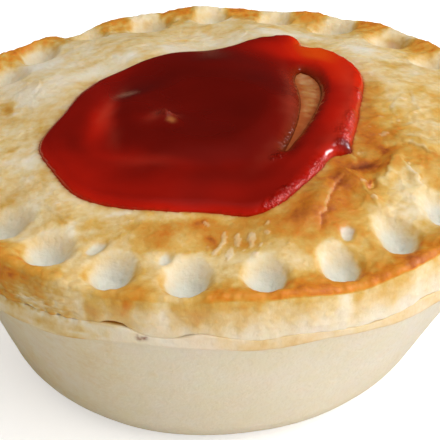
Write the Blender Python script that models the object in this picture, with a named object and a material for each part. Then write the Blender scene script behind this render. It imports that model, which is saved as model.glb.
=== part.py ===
"""A meat pie: a raised pastry case, a thumbed pastry lid and a pool of tomato sauce.

Metres, +Z up. The pie stands on z = 0 with the middle of its rim on the Z axis,
and its front faces -Y. Angles run anticlockwise from +X, seen from above.
"""
import math

import bmesh
import bpy
import numpy as np
from mathutils.geometry import delaunay_2d_cdt

# The case, a tapering cup that carries a flat lip.
LIP_RADIUS = 0.0550
LIP_UNDERSIDE_Z = 0.0342
LIP_THICKNESS = 0.0026
LIP_EDGE_ROUND = 0.0007
WALL_TOP_RADIUS = 0.0514
WALL_FOOT_RADIUS = 0.0361
FOOT_ROUND = 0.0123
WALL_TOP_SHIFT_X = 0.0010
FOOT_SHIFT_X = -0.0021
SEAM_GAP = 0.0003
LIP_SWELL = 0.00012
LEVEL_JOINT_RADIUS = 0.0360
WAVY_JOINT_RADIUS = 0.0520

# Uneven edges, each as (degrees, metres): the seam above the lip's level underside, how far
# that underside strays from level, and how far the lid's crest does.
SEAM_KNOTS = (
    (-150, 0.0029), (-124, 0.0032), (-113, 0.0035), (-109, 0.0038), (-105, 0.0035),
    (-102, 0.0026), (-97, 0.0026), (-94, 0.0033), (-90, 0.0027), (-85, 0.0019),
    (-79, 0.0022), (-73, 0.0018), (-67, 0.0014), (-61, 0.0019), (-56, 0.0027),
    (-40, 0.0023), (0, 0.0026), (45, 0.0023), (90, 0.0028), (140, 0.0024),
)
UNDERSIDE_KNOTS = (
    (-150, 0.0), (-131, -0.0005), (-119, -0.0009), (-112, -0.0001), (-105, 0.0006),
    (-98, 0.0005), (-92, 0.0003), (-84, -0.0002),
    (-74, 0.0002), (-61, -0.0003), (-52, 0.0002), (-10, 0.0), (60, 0.0002), (140, -0.0002),
)
CREST_KNOTS = (
    (-150, 0.0001), (-126, 0.0005), (-111, -0.0006), (-96, -0.0003), (-82, 0.0001),
    (-68, -0.0008), (-52, 0.0006), (-30, 0.0002), (0, 0.0004), (36, 0.0), (51, 0.0006),
    (60, 0.0002), (69, 0.0004), (82, 0.0), (94, 0.0011), (101, 0.0001), (106, 0.0003),
    (117, -0.0005), (124, -0.0014), (131, 0.0), (150, 0.0003), (180, -0.0002),
)

# The lid, a low dome inside a ring of thumbed dimples and a raised rim.
RIM_RADIUS = 0.0546
RIM_SWELL = 0.00018
RIM_SCALLOP = 0.00012
RIM_BULGE = 0.0003
RIM_INNER_RADIUS = 0.0470
RIM_CREST_Z = 0.0437
RIM_ROUND = 0.0010
RIM_FOOT_RADIUS = 0.0548
RIM_FOOT_ROUND = 0.0008
DOME_RISE = 0.0040
DOME_SADDLE_DROP = 0.0003
DOME_SADDLE_RADIUS = 0.0500
DOME_POWER = 2.4
DIMPLES = 25
FIRST_DIMPLE = math.radians(-96.3)
DIMPLE_CROWDING = 0.06
DIMPLE_RING_RADIUS = 0.0487
DIMPLE_REACH_OUT = 0.0050
DIMPLE_HALF_WIDTH = 0.0050
DIMPLE_REACH_IN = 0.0055
DIMPLE_DEPTH = 0.0031
DIMPLE_SEED = 7
CREST_SWING = 0.0002

# Dimples that differ from the rest, as number: (ring radius, half width, reach in, depth).
ODD_DIMPLES = {
    22: (0.0482, 0.0052, 0.0064, 0.0030),
    23: (0.0486, 0.0049, 0.0048, 0.0030),
    24: (0.0491, 0.0048, 0.0044, 0.0030),
    0: (0.0490, 0.0046, 0.0052, 0.0031),
    1: (0.0491, 0.0043, 0.0042, 0.0029),
    2: (0.0488, 0.0042, 0.0044, 0.0028),
    3: (0.0476, 0.0043, 0.0068, 0.0030),
    4: (0.0480, 0.0050, 0.0070, 0.0031),
    17: (0.0476, 0.0066, 0.0072, 0.0030),
}

# Small dents inside the dimples' ring, each as (degrees, radius, direction in degrees, half
# length, half width, depth).
DENTS = (
    (-115, 0.0452, 40, 0.0028, 0.0016, 0.0006),
    (-101, 0.0453, 60, 0.0020, 0.0016, 0.0006),
    (-64, 0.0434, 80, 0.0025, 0.0016, 0.0007),
)
DOME_WOBBLE = 0.00035
DOME_WOBBLE_LENGTH = 0.024

# Folds in the lid's skin, each as (degrees, radius, direction in degrees, length, height).
FOLDS = (
    (-51, 0.0351, 116, 0.0140, 0.0009),
    (-38, 0.0349, 68, 0.0090, 0.0008),
    (-64, 0.0351, 70, 0.0140, 0.0007),
    (-34, 0.0374, -61, 0.0090, 0.0006),
    (-22, 0.0355, 145, 0.0090, 0.0005),
)
FOLD_HALF_WIDTH = 0.0017
FOLD_BEND = 6.0

# The sauce, a thick pool with a thinner skirt, and a bare crescent of crust inside it.
SAUCE_GAP = 0.0003
SAUCE_MIDDLE = (-0.0010, -0.0020)
SAUCE_EDGE = (
    (-164, 0.0310), (-146, 0.0322), (-131, 0.0340), (-117, 0.0336), (-104, 0.0329),
    (-91, 0.0321), (-79, 0.0337), (-72, 0.0327), (-66, 0.0310), (-60, 0.0292),
    (-54, 0.0277), (-48, 0.0266), (-43, 0.0257), (-38, 0.0256), (-35, 0.0267), (-32, 0.0271),
    (-28, 0.0263), (-21, 0.0256), (-10, 0.0254), (2, 0.0259), (14, 0.0278), (28, 0.0312),
    (43, 0.0332), (51, 0.0334), (54, 0.0327), (57, 0.0326), (60, 0.0345), (64, 0.0357),
    (68, 0.0356), (75, 0.0334), (84, 0.0294), (100, 0.0257), (124, 0.0254),
    (142, 0.0264), (160, 0.0256), (178, 0.0264),
)
SKIRT_THICKNESS = 0.0013
SKIRT_ROUND = 0.0021
POOL_THICKNESS = 0.0028
POOL_MIDDLE = (-0.0033, -0.0045)
POOL_HALF_WIDTH = 0.0182
POOL_FRONT_REACH = 0.0202
POOL_BACK_REACH = 0.0285
POOL_FRONT_SHOULDER = 0.38
POOL_BACK_SHOULDER = 0.90
LOOP_THICKNESS = 0.0021
BUMP_PLACE = (-0.0086, -0.0096)
BUMP_HEIGHT = 0.0010
BUMP_RADIUS = 0.0022
CRESCENT_FRONT_Y = -0.0178
CRESCENT_BACK_Y = 0.0155
CRESCENT_MIDDLE_X = 0.0164
CRESCENT_WIDEST_Y = 0.0060
CRESCENT_BEND = 10.2
CRESCENT_HALF_WIDTH = 0.0027
CRESCENT_TAPER = 0.95
CRESCENT_BLUNTNESS = 12

# How finely the meshes are divided. The rings are (radius, points) from the rim inwards.
RIM_SIDES = DIMPLES * 8
FOOT_STEPS = 6
JOINT_RINGS = ((0.0500, RIM_SIDES // 2), (0.0430, RIM_SIDES // 2), (0.0355, RIM_SIDES // 4))
LID_FINE_RADII = (0.0536, 0.0529, 0.0520, 0.0509, 0.0496, 0.0481, 0.0464, 0.0447, 0.0430)
LID_COARSE_RINGS = (
    (0.0410, RIM_SIDES // 2), (0.0382, RIM_SIDES // 2), (0.0348, RIM_SIDES // 2),
    (0.0300, RIM_SIDES // 2), (0.0255, RIM_SIDES // 4), (0.0205, RIM_SIDES // 4),
    (0.0150, RIM_SIDES // 8), (0.0095, RIM_SIDES // 8), (0.0045, RIM_SIDES // 16),
)
SAUCE_SIDES = 90
SAUCE_EDGE_STEPS = (0.00035, 0.0010, 0.0021)
CRESCENT_SIDES = 28
CRESCENT_EDGE_STEP = 0.0007
SAUCE_SPACING = 0.0034
SAUCE_GRID_REACH = 0.040


def blend(low, high, value):
    """Rise smoothly from 0 at low to 1 at high."""
    part = np.clip((value - low) / (high - low), 0.0, 1.0)
    return part * part * (3.0 - 2.0 * part)


def waves(x, y, length, seed, count=12):
    """A smooth uneven field of about unit height, whose bumps are length apart."""
    draw = np.random.default_rng(seed)
    heading = draw.uniform(0.0, 2.0 * math.pi, count)
    start = draw.uniform(0.0, 2.0 * math.pi, count)
    pitch = 2.0 * math.pi / (length * draw.uniform(0.75, 1.4, count))
    total = np.zeros_like(x)
    for angle, phase, rate in zip(heading, start, pitch):
        total += np.cos((x * math.cos(angle) + y * math.sin(angle)) * rate + phase)
    return total * math.sqrt(2.0 / count)


def round_curve(knots, angle):
    """A closed smooth curve through (degrees, value) knots, read at angle in radians."""
    places = np.radians([knot[0] for knot in knots])
    values = np.array([knot[1] for knot in knots])
    count = len(knots)
    turn = np.mod(angle - places[0], 2.0 * math.pi)
    gaps = np.mod(np.roll(places, -1) - places, 2.0 * math.pi)
    starts = np.mod(places - places[0], 2.0 * math.pi)
    index = np.clip(np.searchsorted(starts, turn, side="right") - 1, 0, count - 1)
    slopes = (np.roll(values, -1) - np.roll(values, 1)) / (gaps + np.roll(gaps, 1))
    after = (index + 1) % count
    gap = gaps[index]
    part = (turn - starts[index]) / gap
    rise = values[after] - values[index]
    first = slopes[index] * gap
    last = slopes[after] * gap
    return (values[index] + part * first + part ** 2 * (3 * rise - 2 * first - last)
            + part ** 3 * (first + last - 2 * rise))


def dimple_cycle(angle):
    """+1 on the ridges between the dimples and -1 at the dimples."""
    turn = angle - FIRST_DIMPLE
    return -np.cos(DIMPLES * (turn + DIMPLE_CROWDING * np.sin(turn)))


def crest_height(angle):
    """Height of the lid's rim, which dips a little beside each dimple."""
    return RIM_CREST_Z + CREST_SWING * dimple_cycle(angle) + round_curve(CREST_KNOTS, angle)


def rim_radius(angle):
    """Outer radius of the lid's side."""
    return RIM_RADIUS + RIM_SCALLOP * dimple_cycle(angle) + RIM_SWELL * np.cos(6 * angle + 0.8)


def lip_radius(angle):
    """Outer radius of the case's lip."""
    swell = np.cos(4 * angle) - 1.0 + np.cos(8 * angle + 2.0)
    return LIP_RADIUS + LIP_SWELL * swell


def underside_height(angle):
    """Height of the lip's lower edge."""
    return LIP_UNDERSIDE_Z + round_curve(UNDERSIDE_KNOTS, angle)


def joint_height(radius, angle):
    """The face where lid and case meet: wavy at the rim and level inside."""
    level = LIP_UNDERSIDE_Z + LIP_THICKNESS
    seam = LIP_UNDERSIDE_Z + round_curve(SEAM_KNOTS, angle)
    return level + (seam - level) * blend(LEVEL_JOINT_RADIUS, WAVY_JOINT_RADIUS, radius)


def all_dimples():
    """Each dimple's angle, ring radius, half width, reach in, depth and slant."""
    draw = np.random.default_rng(DIMPLE_SEED)
    rows = []
    for number in range(DIMPLES):
        turn = 2.0 * math.pi * number / DIMPLES
        angle = FIRST_DIMPLE + turn - DIMPLE_CROWDING * math.sin(turn)
        ring = DIMPLE_RING_RADIUS + draw.normal(0.0, 0.0002)
        size = draw.uniform(0.86, 1.10)
        slant = draw.normal(0.08, 0.12)
        shape = (ring, DIMPLE_HALF_WIDTH * size, DIMPLE_REACH_IN * size, DIMPLE_DEPTH * size)
        rows.append((angle, *ODD_DIMPLES.get(number, shape), slant))
    return rows


def dimple_depth(radius, angle):
    """Depth of the thumbed dimples, steep on the rim's side and long on the dome's."""
    total = np.zeros_like(radius)
    for middle, ring, half_width, reach_in, depth, slant in all_dimples():
        turn = np.mod(angle - middle + math.pi, 2.0 * math.pi) - math.pi
        out = radius - ring
        side = turn * ring + slant * out
        reach = np.where(out > 0.0, DIMPLE_REACH_OUT, reach_in)
        away = np.sqrt((side / half_width) ** 2 + (out / reach) ** 2)
        total += depth * (1.0 - blend(0.15, 1.0, away))
    return total


def dent_depth(x, y):
    """Depth of the small dents between the dimples and the dome."""
    total = np.zeros_like(x)
    for degrees, radius, heading, half_length, half_width, depth in DENTS:
        place = math.radians(degrees)
        along = math.radians(heading)
        dx = x - radius * math.cos(place)
        dy = y - radius * math.sin(place)
        run = (dx * math.cos(along) + dy * math.sin(along)) / half_length
        side = (dy * math.cos(along) - dx * math.sin(along)) / half_width
        total += depth * (1.0 - blend(0.2, 1.0, np.hypot(run, side)))
    return total


def fold_height(x, y):
    """Low folds that stand up where the lid's skin has wrinkled."""
    height = np.zeros_like(x)
    for degrees, radius, heading, length, rise in FOLDS:
        place = math.radians(degrees)
        along = math.radians(heading)
        dx = x - radius * math.cos(place)
        dy = y - radius * math.sin(place)
        run = dx * math.cos(along) + dy * math.sin(along)
        side = dy * math.cos(along) - dx * math.sin(along) - FOLD_BEND * run * run
        shape = np.exp(-(side / FOLD_HALF_WIDTH) ** 2) * np.exp(-(2.0 * run / length) ** 4)
        height += rise * shape
    return height


def lid_height(x, y):
    """Top of the lid inside its rounded rim."""
    radius = np.hypot(x, y)
    angle = np.arctan2(y, x)
    crest = crest_height(angle)
    saddle = RIM_CREST_Z - DOME_SADDLE_DROP
    dome = RIM_CREST_Z + DOME_RISE
    dome = dome - (dome - saddle) * (radius / DOME_SADDLE_RADIUS) ** DOME_POWER
    dome = dome + DOME_WOBBLE * waves(x, y, DOME_WOBBLE_LENGTH, seed=11)
    dome = dome + fold_height(x, y)
    share = blend(RIM_INNER_RADIUS, RIM_RADIUS - RIM_ROUND, radius)
    return dome + (crest - dome) * share - dimple_depth(radius, angle) - dent_depth(x, y)


def crescent_middle(y):
    """Middle of the bare crescent, which bends round the pool's right side."""
    return CRESCENT_MIDDLE_X - CRESCENT_BEND * (y - CRESCENT_WIDEST_Y) ** 2


def crescent_half_width(y):
    """Half width of the bare crescent: pointed at the front and blunt at the back."""
    run = np.clip((y - CRESCENT_FRONT_Y) / (CRESCENT_BACK_Y - CRESCENT_FRONT_Y), 0.0, 1.0)
    return CRESCENT_HALF_WIDTH * run ** CRESCENT_TAPER * (1.0 - run ** CRESCENT_BLUNTNESS)


def crescent_outline(count):
    """Points round the crescent, clockwise seen from above."""
    half = count // 2
    step = 0.5 - 0.5 * np.cos(np.linspace(0.0, math.pi, half + 1))
    y = CRESCENT_FRONT_Y + (CRESCENT_BACK_Y - CRESCENT_FRONT_Y) * step
    middle = crescent_middle(y)
    width = crescent_half_width(y)
    left = list(zip(middle - width, y))
    right = list(zip(middle + width, y))[-2:0:-1]
    return np.array(left + right)


def sauce_outline(count):
    """Points round the sauce, anticlockwise seen from above."""
    angle = np.linspace(-math.pi, math.pi, count, endpoint=False)
    radius = round_curve(SAUCE_EDGE, angle)
    return np.stack([SAUCE_MIDDLE[0] + radius * np.cos(angle),
                     SAUCE_MIDDLE[1] + radius * np.sin(angle)], axis=1)


def inset(outline, distance):
    """The outline moved by distance to its left, which is inwards when anticlockwise."""
    along = np.roll(outline, -1, axis=0) - np.roll(outline, 1, axis=0)
    along /= np.hypot(along[:, 0], along[:, 1])[:, None]
    return outline + distance * np.stack([-along[:, 1], along[:, 0]], axis=1)


def distance_to(outline, x, y):
    """Distance from each point to a closed outline."""
    nearest = np.full(x.shape, np.inf)
    for start, end in zip(outline, np.roll(outline, -1, axis=0)):
        step = end - start
        run = ((x - start[0]) * step[0] + (y - start[1]) * step[1]) / (step @ step)
        run = np.clip(run, 0.0, 1.0)
        gap = np.hypot(x - start[0] - run * step[0], y - start[1] - run * step[1])
        nearest = np.minimum(nearest, gap)
    return nearest


def pool_share(x, y):
    """How far out in the pool each point lies, from 0 in its middle to 1 at its edge."""
    out = y - POOL_MIDDLE[1]
    reach = np.where(out > 0.0, POOL_BACK_REACH, POOL_FRONT_REACH)
    return np.hypot((x - POOL_MIDDLE[0]) / POOL_HALF_WIDTH, out / reach)


def sauce_thickness(x, y, edge_distance):
    """Thickness of the sauce: a rounded skirt, the pool in it and the loop at the right."""
    beside = x - crescent_middle(y)
    right = blend(0.0, 0.004, beside) * blend(-0.030, -0.016, y)
    loop = (LOOP_THICKNESS - SKIRT_THICKNESS) * right
    shoulder = POOL_BACK_SHOULDER - POOL_FRONT_SHOULDER
    shoulder = POOL_FRONT_SHOULDER + shoulder * blend(-0.004, 0.012, y)
    pool = 1.0 - blend(1.0 - shoulder, 1.0, pool_share(x, y))
    bump = np.exp(-((x - BUMP_PLACE[0]) ** 2 + (y - BUMP_PLACE[1]) ** 2) / BUMP_RADIUS ** 2)
    full = SKIRT_THICKNESS + loop + (POOL_THICKNESS - SKIRT_THICKNESS) * pool
    full = full + BUMP_HEIGHT * bump
    short = 1.0 - np.clip(edge_distance / SKIRT_ROUND, 0.0, 1.0)
    return full * np.sqrt(1.0 - short ** 2)


def material(name, colour, roughness):
    """A plain Principled material."""
    made = bpy.data.materials.new(name)
    made.use_nodes = True
    shader = made.node_tree.nodes["Principled BSDF"]
    shader.inputs["Base Color"].default_value = (*colour, 1.0)
    shader.inputs["Roughness"].default_value = roughness
    shader.inputs["Metallic"].default_value = 0.0
    return made


def add_object(name, mesh_builder, surface):
    """Turn a filled bmesh into a smooth named object."""
    mesh = bpy.data.meshes.new(name)
    mesh_builder.normal_update()
    mesh_builder.to_mesh(mesh)
    mesh_builder.free()
    mesh.materials.append(surface)
    mesh.shade_smooth()
    mesh.set_sharp_from_angle(angle=math.radians(50.0))
    made = bpy.data.objects.new(name, mesh)
    bpy.context.scene.collection.objects.link(made)
    return made


def add_ring(builder, radius, height, sides, shift_x=0.0):
    """A ring of points; radius and height are numbers or functions of the angle."""
    angle = FIRST_DIMPLE + np.linspace(0.0, 2.0 * math.pi, sides, endpoint=False)
    radii = radius(angle) if callable(radius) else np.full(sides, radius)
    x = radii * np.cos(angle)
    y = radii * np.sin(angle)
    heights = height(x, y) if callable(height) else np.full(sides, height)
    return [builder.verts.new((px + shift_x, py, pz)) for px, py, pz in zip(x, y, heights)]


def join_rings(builder, first, second):
    """Triangles between two rings, whatever their counts. The second lies after the first
    on a path up the outside and inwards over the top, so the faces point out."""
    i = 0
    j = 0
    while i < len(first) or j < len(second):
        here = first[i % len(first)]
        there = second[j % len(second)]
        if j == len(second) or (i < len(first) and (i + 1) * len(second) <= (j + 1) * len(first)):
            i += 1
            builder.faces.new((here, first[i % len(first)], there))
        else:
            j += 1
            builder.faces.new((here, second[j % len(second)], there))


def close_ring(builder, ring, middle, upward):
    """A fan of triangles from a ring to a point in its middle."""
    point = builder.verts.new(middle)
    for here, after in zip(ring, ring[1:] + ring[:1]):
        builder.faces.new((here, after, point) if upward else (after, here, point))


def case_profile():
    """Radius, height and shift of the case's outside, from the foot up to the lip."""
    lean = math.atan2(WALL_TOP_RADIUS - WALL_FOOT_RADIUS, LIP_UNDERSIDE_Z)
    turn = math.pi / 2.0 - lean
    setback = FOOT_ROUND * math.tan(turn / 2.0)
    centre_radius = WALL_FOOT_RADIUS - setback
    points = [(centre_radius * 0.55, 0.0), (centre_radius, 0.0)]
    for step in range(1, FOOT_STEPS + 1):
        angle = turn * step / FOOT_STEPS
        points.append((centre_radius + FOOT_ROUND * math.sin(angle),
                       FOOT_ROUND * (1.0 - math.cos(angle))))
    foot_radius, foot_z = points[-1]
    for share in (0.3, 0.62, 0.9):
        points.append((foot_radius + (WALL_TOP_RADIUS - foot_radius) * share,
                       foot_z + (LIP_UNDERSIDE_Z - foot_z) * share))
    return points


def make_case(surface):
    """The case with its filling: a solid cup whose lip stands out all round."""
    builder = bmesh.new()

    def shift_at(height):
        return FOOT_SHIFT_X + (WALL_TOP_SHIFT_X - FOOT_SHIFT_X) * height / LIP_UNDERSIDE_Z

    sides = RIM_SIDES // 2
    rings = [add_ring(builder, radius, height, sides // 2 if height == 0.0 else sides,
                      shift_at(height)) for radius, height in case_profile()]
    rings.append(add_ring(builder, WALL_TOP_RADIUS, LIP_UNDERSIDE_Z - LIP_EDGE_ROUND, sides,
                          WALL_TOP_SHIFT_X))

    def lip_edge(inward):
        return lambda angle: lip_radius(angle) - inward

    def underside(rise):
        return lambda x, y: underside_height(np.arctan2(y, x)) + rise

    def top_face(x, y):
        return joint_height(np.hypot(x, y), np.arctan2(y, x)) - SEAM_GAP / 2.0

    def near_top(x, y):
        return top_face(x, y) - LIP_EDGE_ROUND

    rings.append(add_ring(builder, WALL_TOP_RADIUS + 2.0 * LIP_EDGE_ROUND, underside(0.0), sides))
    rings.append(add_ring(builder, lip_edge(LIP_EDGE_ROUND), underside(0.0), RIM_SIDES))
    rings.append(add_ring(builder, lip_edge(0.0), underside(LIP_EDGE_ROUND * 0.7), RIM_SIDES))
    rings.append(add_ring(builder, lip_edge(LIP_EDGE_ROUND * 0.3), near_top, RIM_SIDES))
    rings.append(add_ring(builder, lip_edge(LIP_EDGE_ROUND), top_face, RIM_SIDES))
    for radius, count in JOINT_RINGS:
        rings.append(add_ring(builder, radius, top_face, count))
    for lower, upper in zip(rings, rings[1:]):
        join_rings(builder, lower, upper)
    close_ring(builder, rings[0], (FOOT_SHIFT_X, 0.0, 0.0), upward=False)
    inner_z = LIP_UNDERSIDE_Z + LIP_THICKNESS - SEAM_GAP / 2.0
    close_ring(builder, rings[-1], (0.0, 0.0, inner_z), upward=True)
    return add_object("case_crust", builder, surface)


def make_lid(surface):
    """The lid: a thick disc of pastry whose top is domed, dimpled and rimmed."""
    builder = bmesh.new()

    def foot_face(x, y):
        return joint_height(np.hypot(x, y), np.arctan2(y, x)) + SEAM_GAP / 2.0

    def side_at(share):
        """Radius of the side, from 0 at the seam to 1 under the rounded rim."""
        bulge = RIM_BULGE * math.sin(math.pi * share)
        return lambda angle: (RIM_FOOT_RADIUS + (rim_radius(angle) - RIM_FOOT_RADIUS) * share
                              + bulge)

    def side_height(share):
        def height(x, y):
            low = foot_face(x, y) + RIM_FOOT_ROUND
            high = crest_height(np.arctan2(y, x)) - RIM_ROUND
            return low + (high - low) * share
        return height

    def round_radius(turn):
        return lambda angle: rim_radius(angle) - RIM_ROUND * (1.0 - math.cos(turn))

    def round_height(turn):
        return lambda x, y: crest_height(np.arctan2(y, x)) - RIM_ROUND * (1.0 - math.sin(turn))

    sides = RIM_SIDES
    rings = [add_ring(builder, radius, foot_face, count) for radius, count in JOINT_RINGS[::-1]]
    rings += [
        add_ring(builder, lambda angle: lip_radius(angle) - LIP_EDGE_ROUND, foot_face, sides),
        add_ring(builder, side_at(0.0), side_height(0.0), sides),
        add_ring(builder, side_at(0.5), side_height(0.5), sides),
        add_ring(builder, side_at(1.0), side_height(1.0), sides),
    ]
    for degrees in (35.0, 65.0):
        turn = math.radians(degrees)
        rings.append(add_ring(builder, round_radius(turn), round_height(turn), sides))
    for radius in LID_FINE_RADII:
        rings.append(add_ring(builder, radius, lid_height, sides))
    for radius, count in LID_COARSE_RINGS:
        rings.append(add_ring(builder, radius, lid_height, count))
    for lower, upper in zip(rings, rings[1:]):
        join_rings(builder, lower, upper)
    inner_z = LIP_UNDERSIDE_Z + LIP_THICKNESS + SEAM_GAP / 2.0
    close_ring(builder, rings[0], (0.0, 0.0, inner_z), upward=False)
    top = float(lid_height(np.zeros(1), np.zeros(1))[0])
    close_ring(builder, rings[-1], (0.0, 0.0, top), upward=True)
    return add_object("lid_crust", builder, surface)


def inside(outline, x, y):
    """Whether each point lies inside a closed outline."""
    crossings = np.zeros(x.shape, dtype=int)
    for start, end in zip(outline, np.roll(outline, -1, axis=0)):
        if start[1] == end[1]:
            continue
        spans = (start[1] > y) != (end[1] > y)
        cross_x = start[0] + (y - start[1]) * (end[0] - start[0]) / (end[1] - start[1])
        crossings += spans & (x < cross_x)
    return crossings % 2 == 1


def sheet_triangles(edge_loops, inner_points):
    """Flat triangles between the outer loop and the hole, through the inner points."""
    points = []
    edges = []
    for loop in edge_loops:
        first = len(points)
        points.extend(loop)
        edges.extend((first + i, first + (i + 1) % len(loop)) for i in range(len(loop)))
    points.extend(inner_points)
    flat, _, faces, _, _, _ = delaunay_2d_cdt([tuple(p) for p in points], edges, [], 0, 1e-7)
    outer, hole = edge_loops
    middles = np.array([[sum(flat[i][axis] for i in face) / 3.0 for axis in (0, 1)] for face in faces])
    kept = inside(outer, middles[:, 0], middles[:, 1]) & ~inside(hole, middles[:, 0], middles[:, 1])
    return np.array([tuple(p) for p in flat]), [face for face, keep in zip(faces, kept) if keep]


def grid_points(outer, hole, spacing, clearance):
    """Points on a triangular grid that stay clear of both outlines."""
    reach = SAUCE_GRID_REACH
    rows = np.arange(-reach, reach, spacing * math.sqrt(3.0) / 2.0)
    points = []
    for number, y in enumerate(rows):
        x = np.arange(-reach, reach, spacing) + (spacing / 2.0 if number % 2 else 0.0)
        points.append(np.stack([x, np.full_like(x, y)], axis=1))
    points = np.concatenate(points)
    x = points[:, 0]
    y = points[:, 1]
    clear = inside(outer, x, y) & ~inside(hole, x, y)
    clear &= distance_to(outer, x, y) > clearance
    clear &= distance_to(hole, x, y) > clearance
    return points[clear]


def make_sauce(surface):
    """The sauce: top and bottom sheets that share the outer edge and the crescent's edge."""
    builder = bmesh.new()
    outer = sauce_outline(SAUCE_SIDES)
    hole = crescent_outline(CRESCENT_SIDES)
    loops = [inset(outer, step) for step in SAUCE_EDGE_STEPS]
    loops.append(inset(hole, CRESCENT_EDGE_STEP))
    upper_points = np.concatenate(loops + [grid_points(outer, hole, SAUCE_SPACING, SAUCE_SPACING)])
    lower_points = grid_points(outer, hole, 1.5 * SAUCE_SPACING, SAUCE_SPACING)
    edge_count = len(outer) + len(hole)
    shared = []
    for upward, inner_points in ((True, upper_points), (False, lower_points)):
        flat, faces = sheet_triangles((outer, hole), inner_points)
        x = flat[:, 0]
        y = flat[:, 1]
        height = lid_height(x, y) + SAUCE_GAP
        if upward:
            edge_distance = np.minimum(distance_to(outer, x, y), distance_to(hole, x, y))
            thickness = sauce_thickness(x, y, edge_distance)
            height[edge_count:] += thickness[edge_count:]
        verts = list(shared)
        for index in range(len(verts), len(flat)):
            verts.append(builder.verts.new((x[index], y[index], height[index])))
        shared = verts[:edge_count]
        for face in faces:
            corners = [verts[index] for index in face]
            builder.faces.new(corners if upward else corners[::-1])
    return add_object("tomato_sauce", builder, surface)


def main():
    for old in list(bpy.data.objects):
        bpy.data.objects.remove(old, do_unlink=True)
    make_case(material("case_crust", (0.72, 0.62, 0.42), 0.65))
    make_lid(material("lid_crust", (0.74, 0.52, 0.26), 0.55))
    make_sauce(material("tomato_sauce", (0.30, 0.012, 0.004), 0.12))


main()
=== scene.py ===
"""The looks of the meat pie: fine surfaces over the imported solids, their finishes and the light.

Metres, +Z up, in the part's own frame: the pie stands on z = 0 with the middle of its rim on
the Z axis, and its front faces -Y. Angles run anticlockwise from +X, seen from above.
"""

import itertools
import math

import bpy
import numpy as np
from mathutils import Matrix, Vector
from mathutils.geometry import delaunay_2d_cdt


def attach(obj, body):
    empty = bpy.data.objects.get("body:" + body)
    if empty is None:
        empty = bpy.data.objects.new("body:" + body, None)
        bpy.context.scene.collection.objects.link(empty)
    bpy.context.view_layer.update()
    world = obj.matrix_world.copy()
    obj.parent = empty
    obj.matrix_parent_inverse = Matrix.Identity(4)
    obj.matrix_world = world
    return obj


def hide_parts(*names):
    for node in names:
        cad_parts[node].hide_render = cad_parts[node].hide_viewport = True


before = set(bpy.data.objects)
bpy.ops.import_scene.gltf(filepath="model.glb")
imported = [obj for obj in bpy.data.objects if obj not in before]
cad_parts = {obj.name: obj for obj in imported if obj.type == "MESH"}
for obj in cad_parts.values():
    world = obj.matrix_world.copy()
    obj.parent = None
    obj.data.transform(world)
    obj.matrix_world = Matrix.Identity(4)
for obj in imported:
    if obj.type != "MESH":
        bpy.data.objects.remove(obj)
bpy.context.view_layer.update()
MM = 0.001

# The case, a tapering cup that carries a flat lip.
LIP_RADIUS = 0.0550
LIP_UNDERSIDE_Z = 0.0342
LIP_THICKNESS = 0.0026
WALL_TOP_RADIUS = 0.0514
WALL_FOOT_RADIUS = 0.0361
FOOT_ROUND = 0.0123
WALL_TOP_SHIFT_X = 0.0010
FOOT_SHIFT_X = -0.0021
LIP_SWELL = 0.00012
LEVEL_JOINT_RADIUS = 0.0360
WAVY_JOINT_RADIUS = 0.0520

# Uneven edges, each as (degrees, metres): the seam above the lip's level underside, how far
# that underside strays from level, and how far the lid's crest does.
SEAM_KNOTS = (
    (-150, 0.0029), (-124, 0.0032), (-113, 0.0035), (-109, 0.0038), (-105, 0.0035),
    (-102, 0.0026), (-97, 0.0026), (-94, 0.0033), (-90, 0.0027), (-85, 0.0019),
    (-79, 0.0022), (-73, 0.0018), (-67, 0.0014), (-61, 0.0019), (-56, 0.0027),
    (-40, 0.0023), (0, 0.0026), (45, 0.0023), (90, 0.0028), (140, 0.0024),
)
UNDERSIDE_KNOTS = (
    (-150, 0.0), (-131, -0.0005), (-119, -0.0009), (-112, -0.0001), (-105, 0.0006),
    (-98, 0.0005), (-92, 0.0003), (-84, -0.0002),
    (-74, 0.0002), (-61, -0.0003), (-52, 0.0002), (-10, 0.0), (60, 0.0002), (140, -0.0002),
)
CREST_KNOTS = (
    (-150, 0.0001), (-126, 0.0005), (-111, -0.0006), (-96, -0.0003), (-82, 0.0001),
    (-68, -0.0008), (-52, 0.0006), (-30, 0.0002), (0, 0.0004), (36, 0.0), (51, 0.0006),
    (60, 0.0002), (69, 0.0004), (82, 0.0), (94, 0.0011), (101, 0.0001), (106, 0.0003),
    (117, -0.0005), (124, -0.0014), (131, 0.0), (150, 0.0003), (180, -0.0002),
)

# The lid, a low dome inside a ring of thumbed dimples and a raised rim.
RIM_RADIUS = 0.0546
RIM_SWELL = 0.00018
RIM_SCALLOP = 0.00012
RIM_BULGE = 0.0003
RIM_INNER_RADIUS = 0.0470
RIM_CREST_Z = 0.0437
RIM_ROUND = 0.0010
RIM_FOOT_RADIUS = 0.0548
DOME_RISE = 0.0040
DOME_SADDLE_DROP = 0.0003
DOME_SADDLE_RADIUS = 0.0500
DOME_POWER = 2.4
DIMPLES = 25
FIRST_DIMPLE = math.radians(-96.3)
DIMPLE_CROWDING = 0.06
DIMPLE_RING_RADIUS = 0.0487
DIMPLE_REACH_OUT = 0.0050
DIMPLE_HALF_WIDTH = 0.0050
DIMPLE_REACH_IN = 0.0055
DIMPLE_DEPTH = 0.0031
DIMPLE_FLAT = 0.15
DIMPLE_SEED = 7
RING_SPREAD = 0.0002
DIMPLE_SIZES = (0.86, 1.10)
DIMPLE_SLANT = (0.08, 0.12)
CREST_SWING = 0.0002

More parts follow.
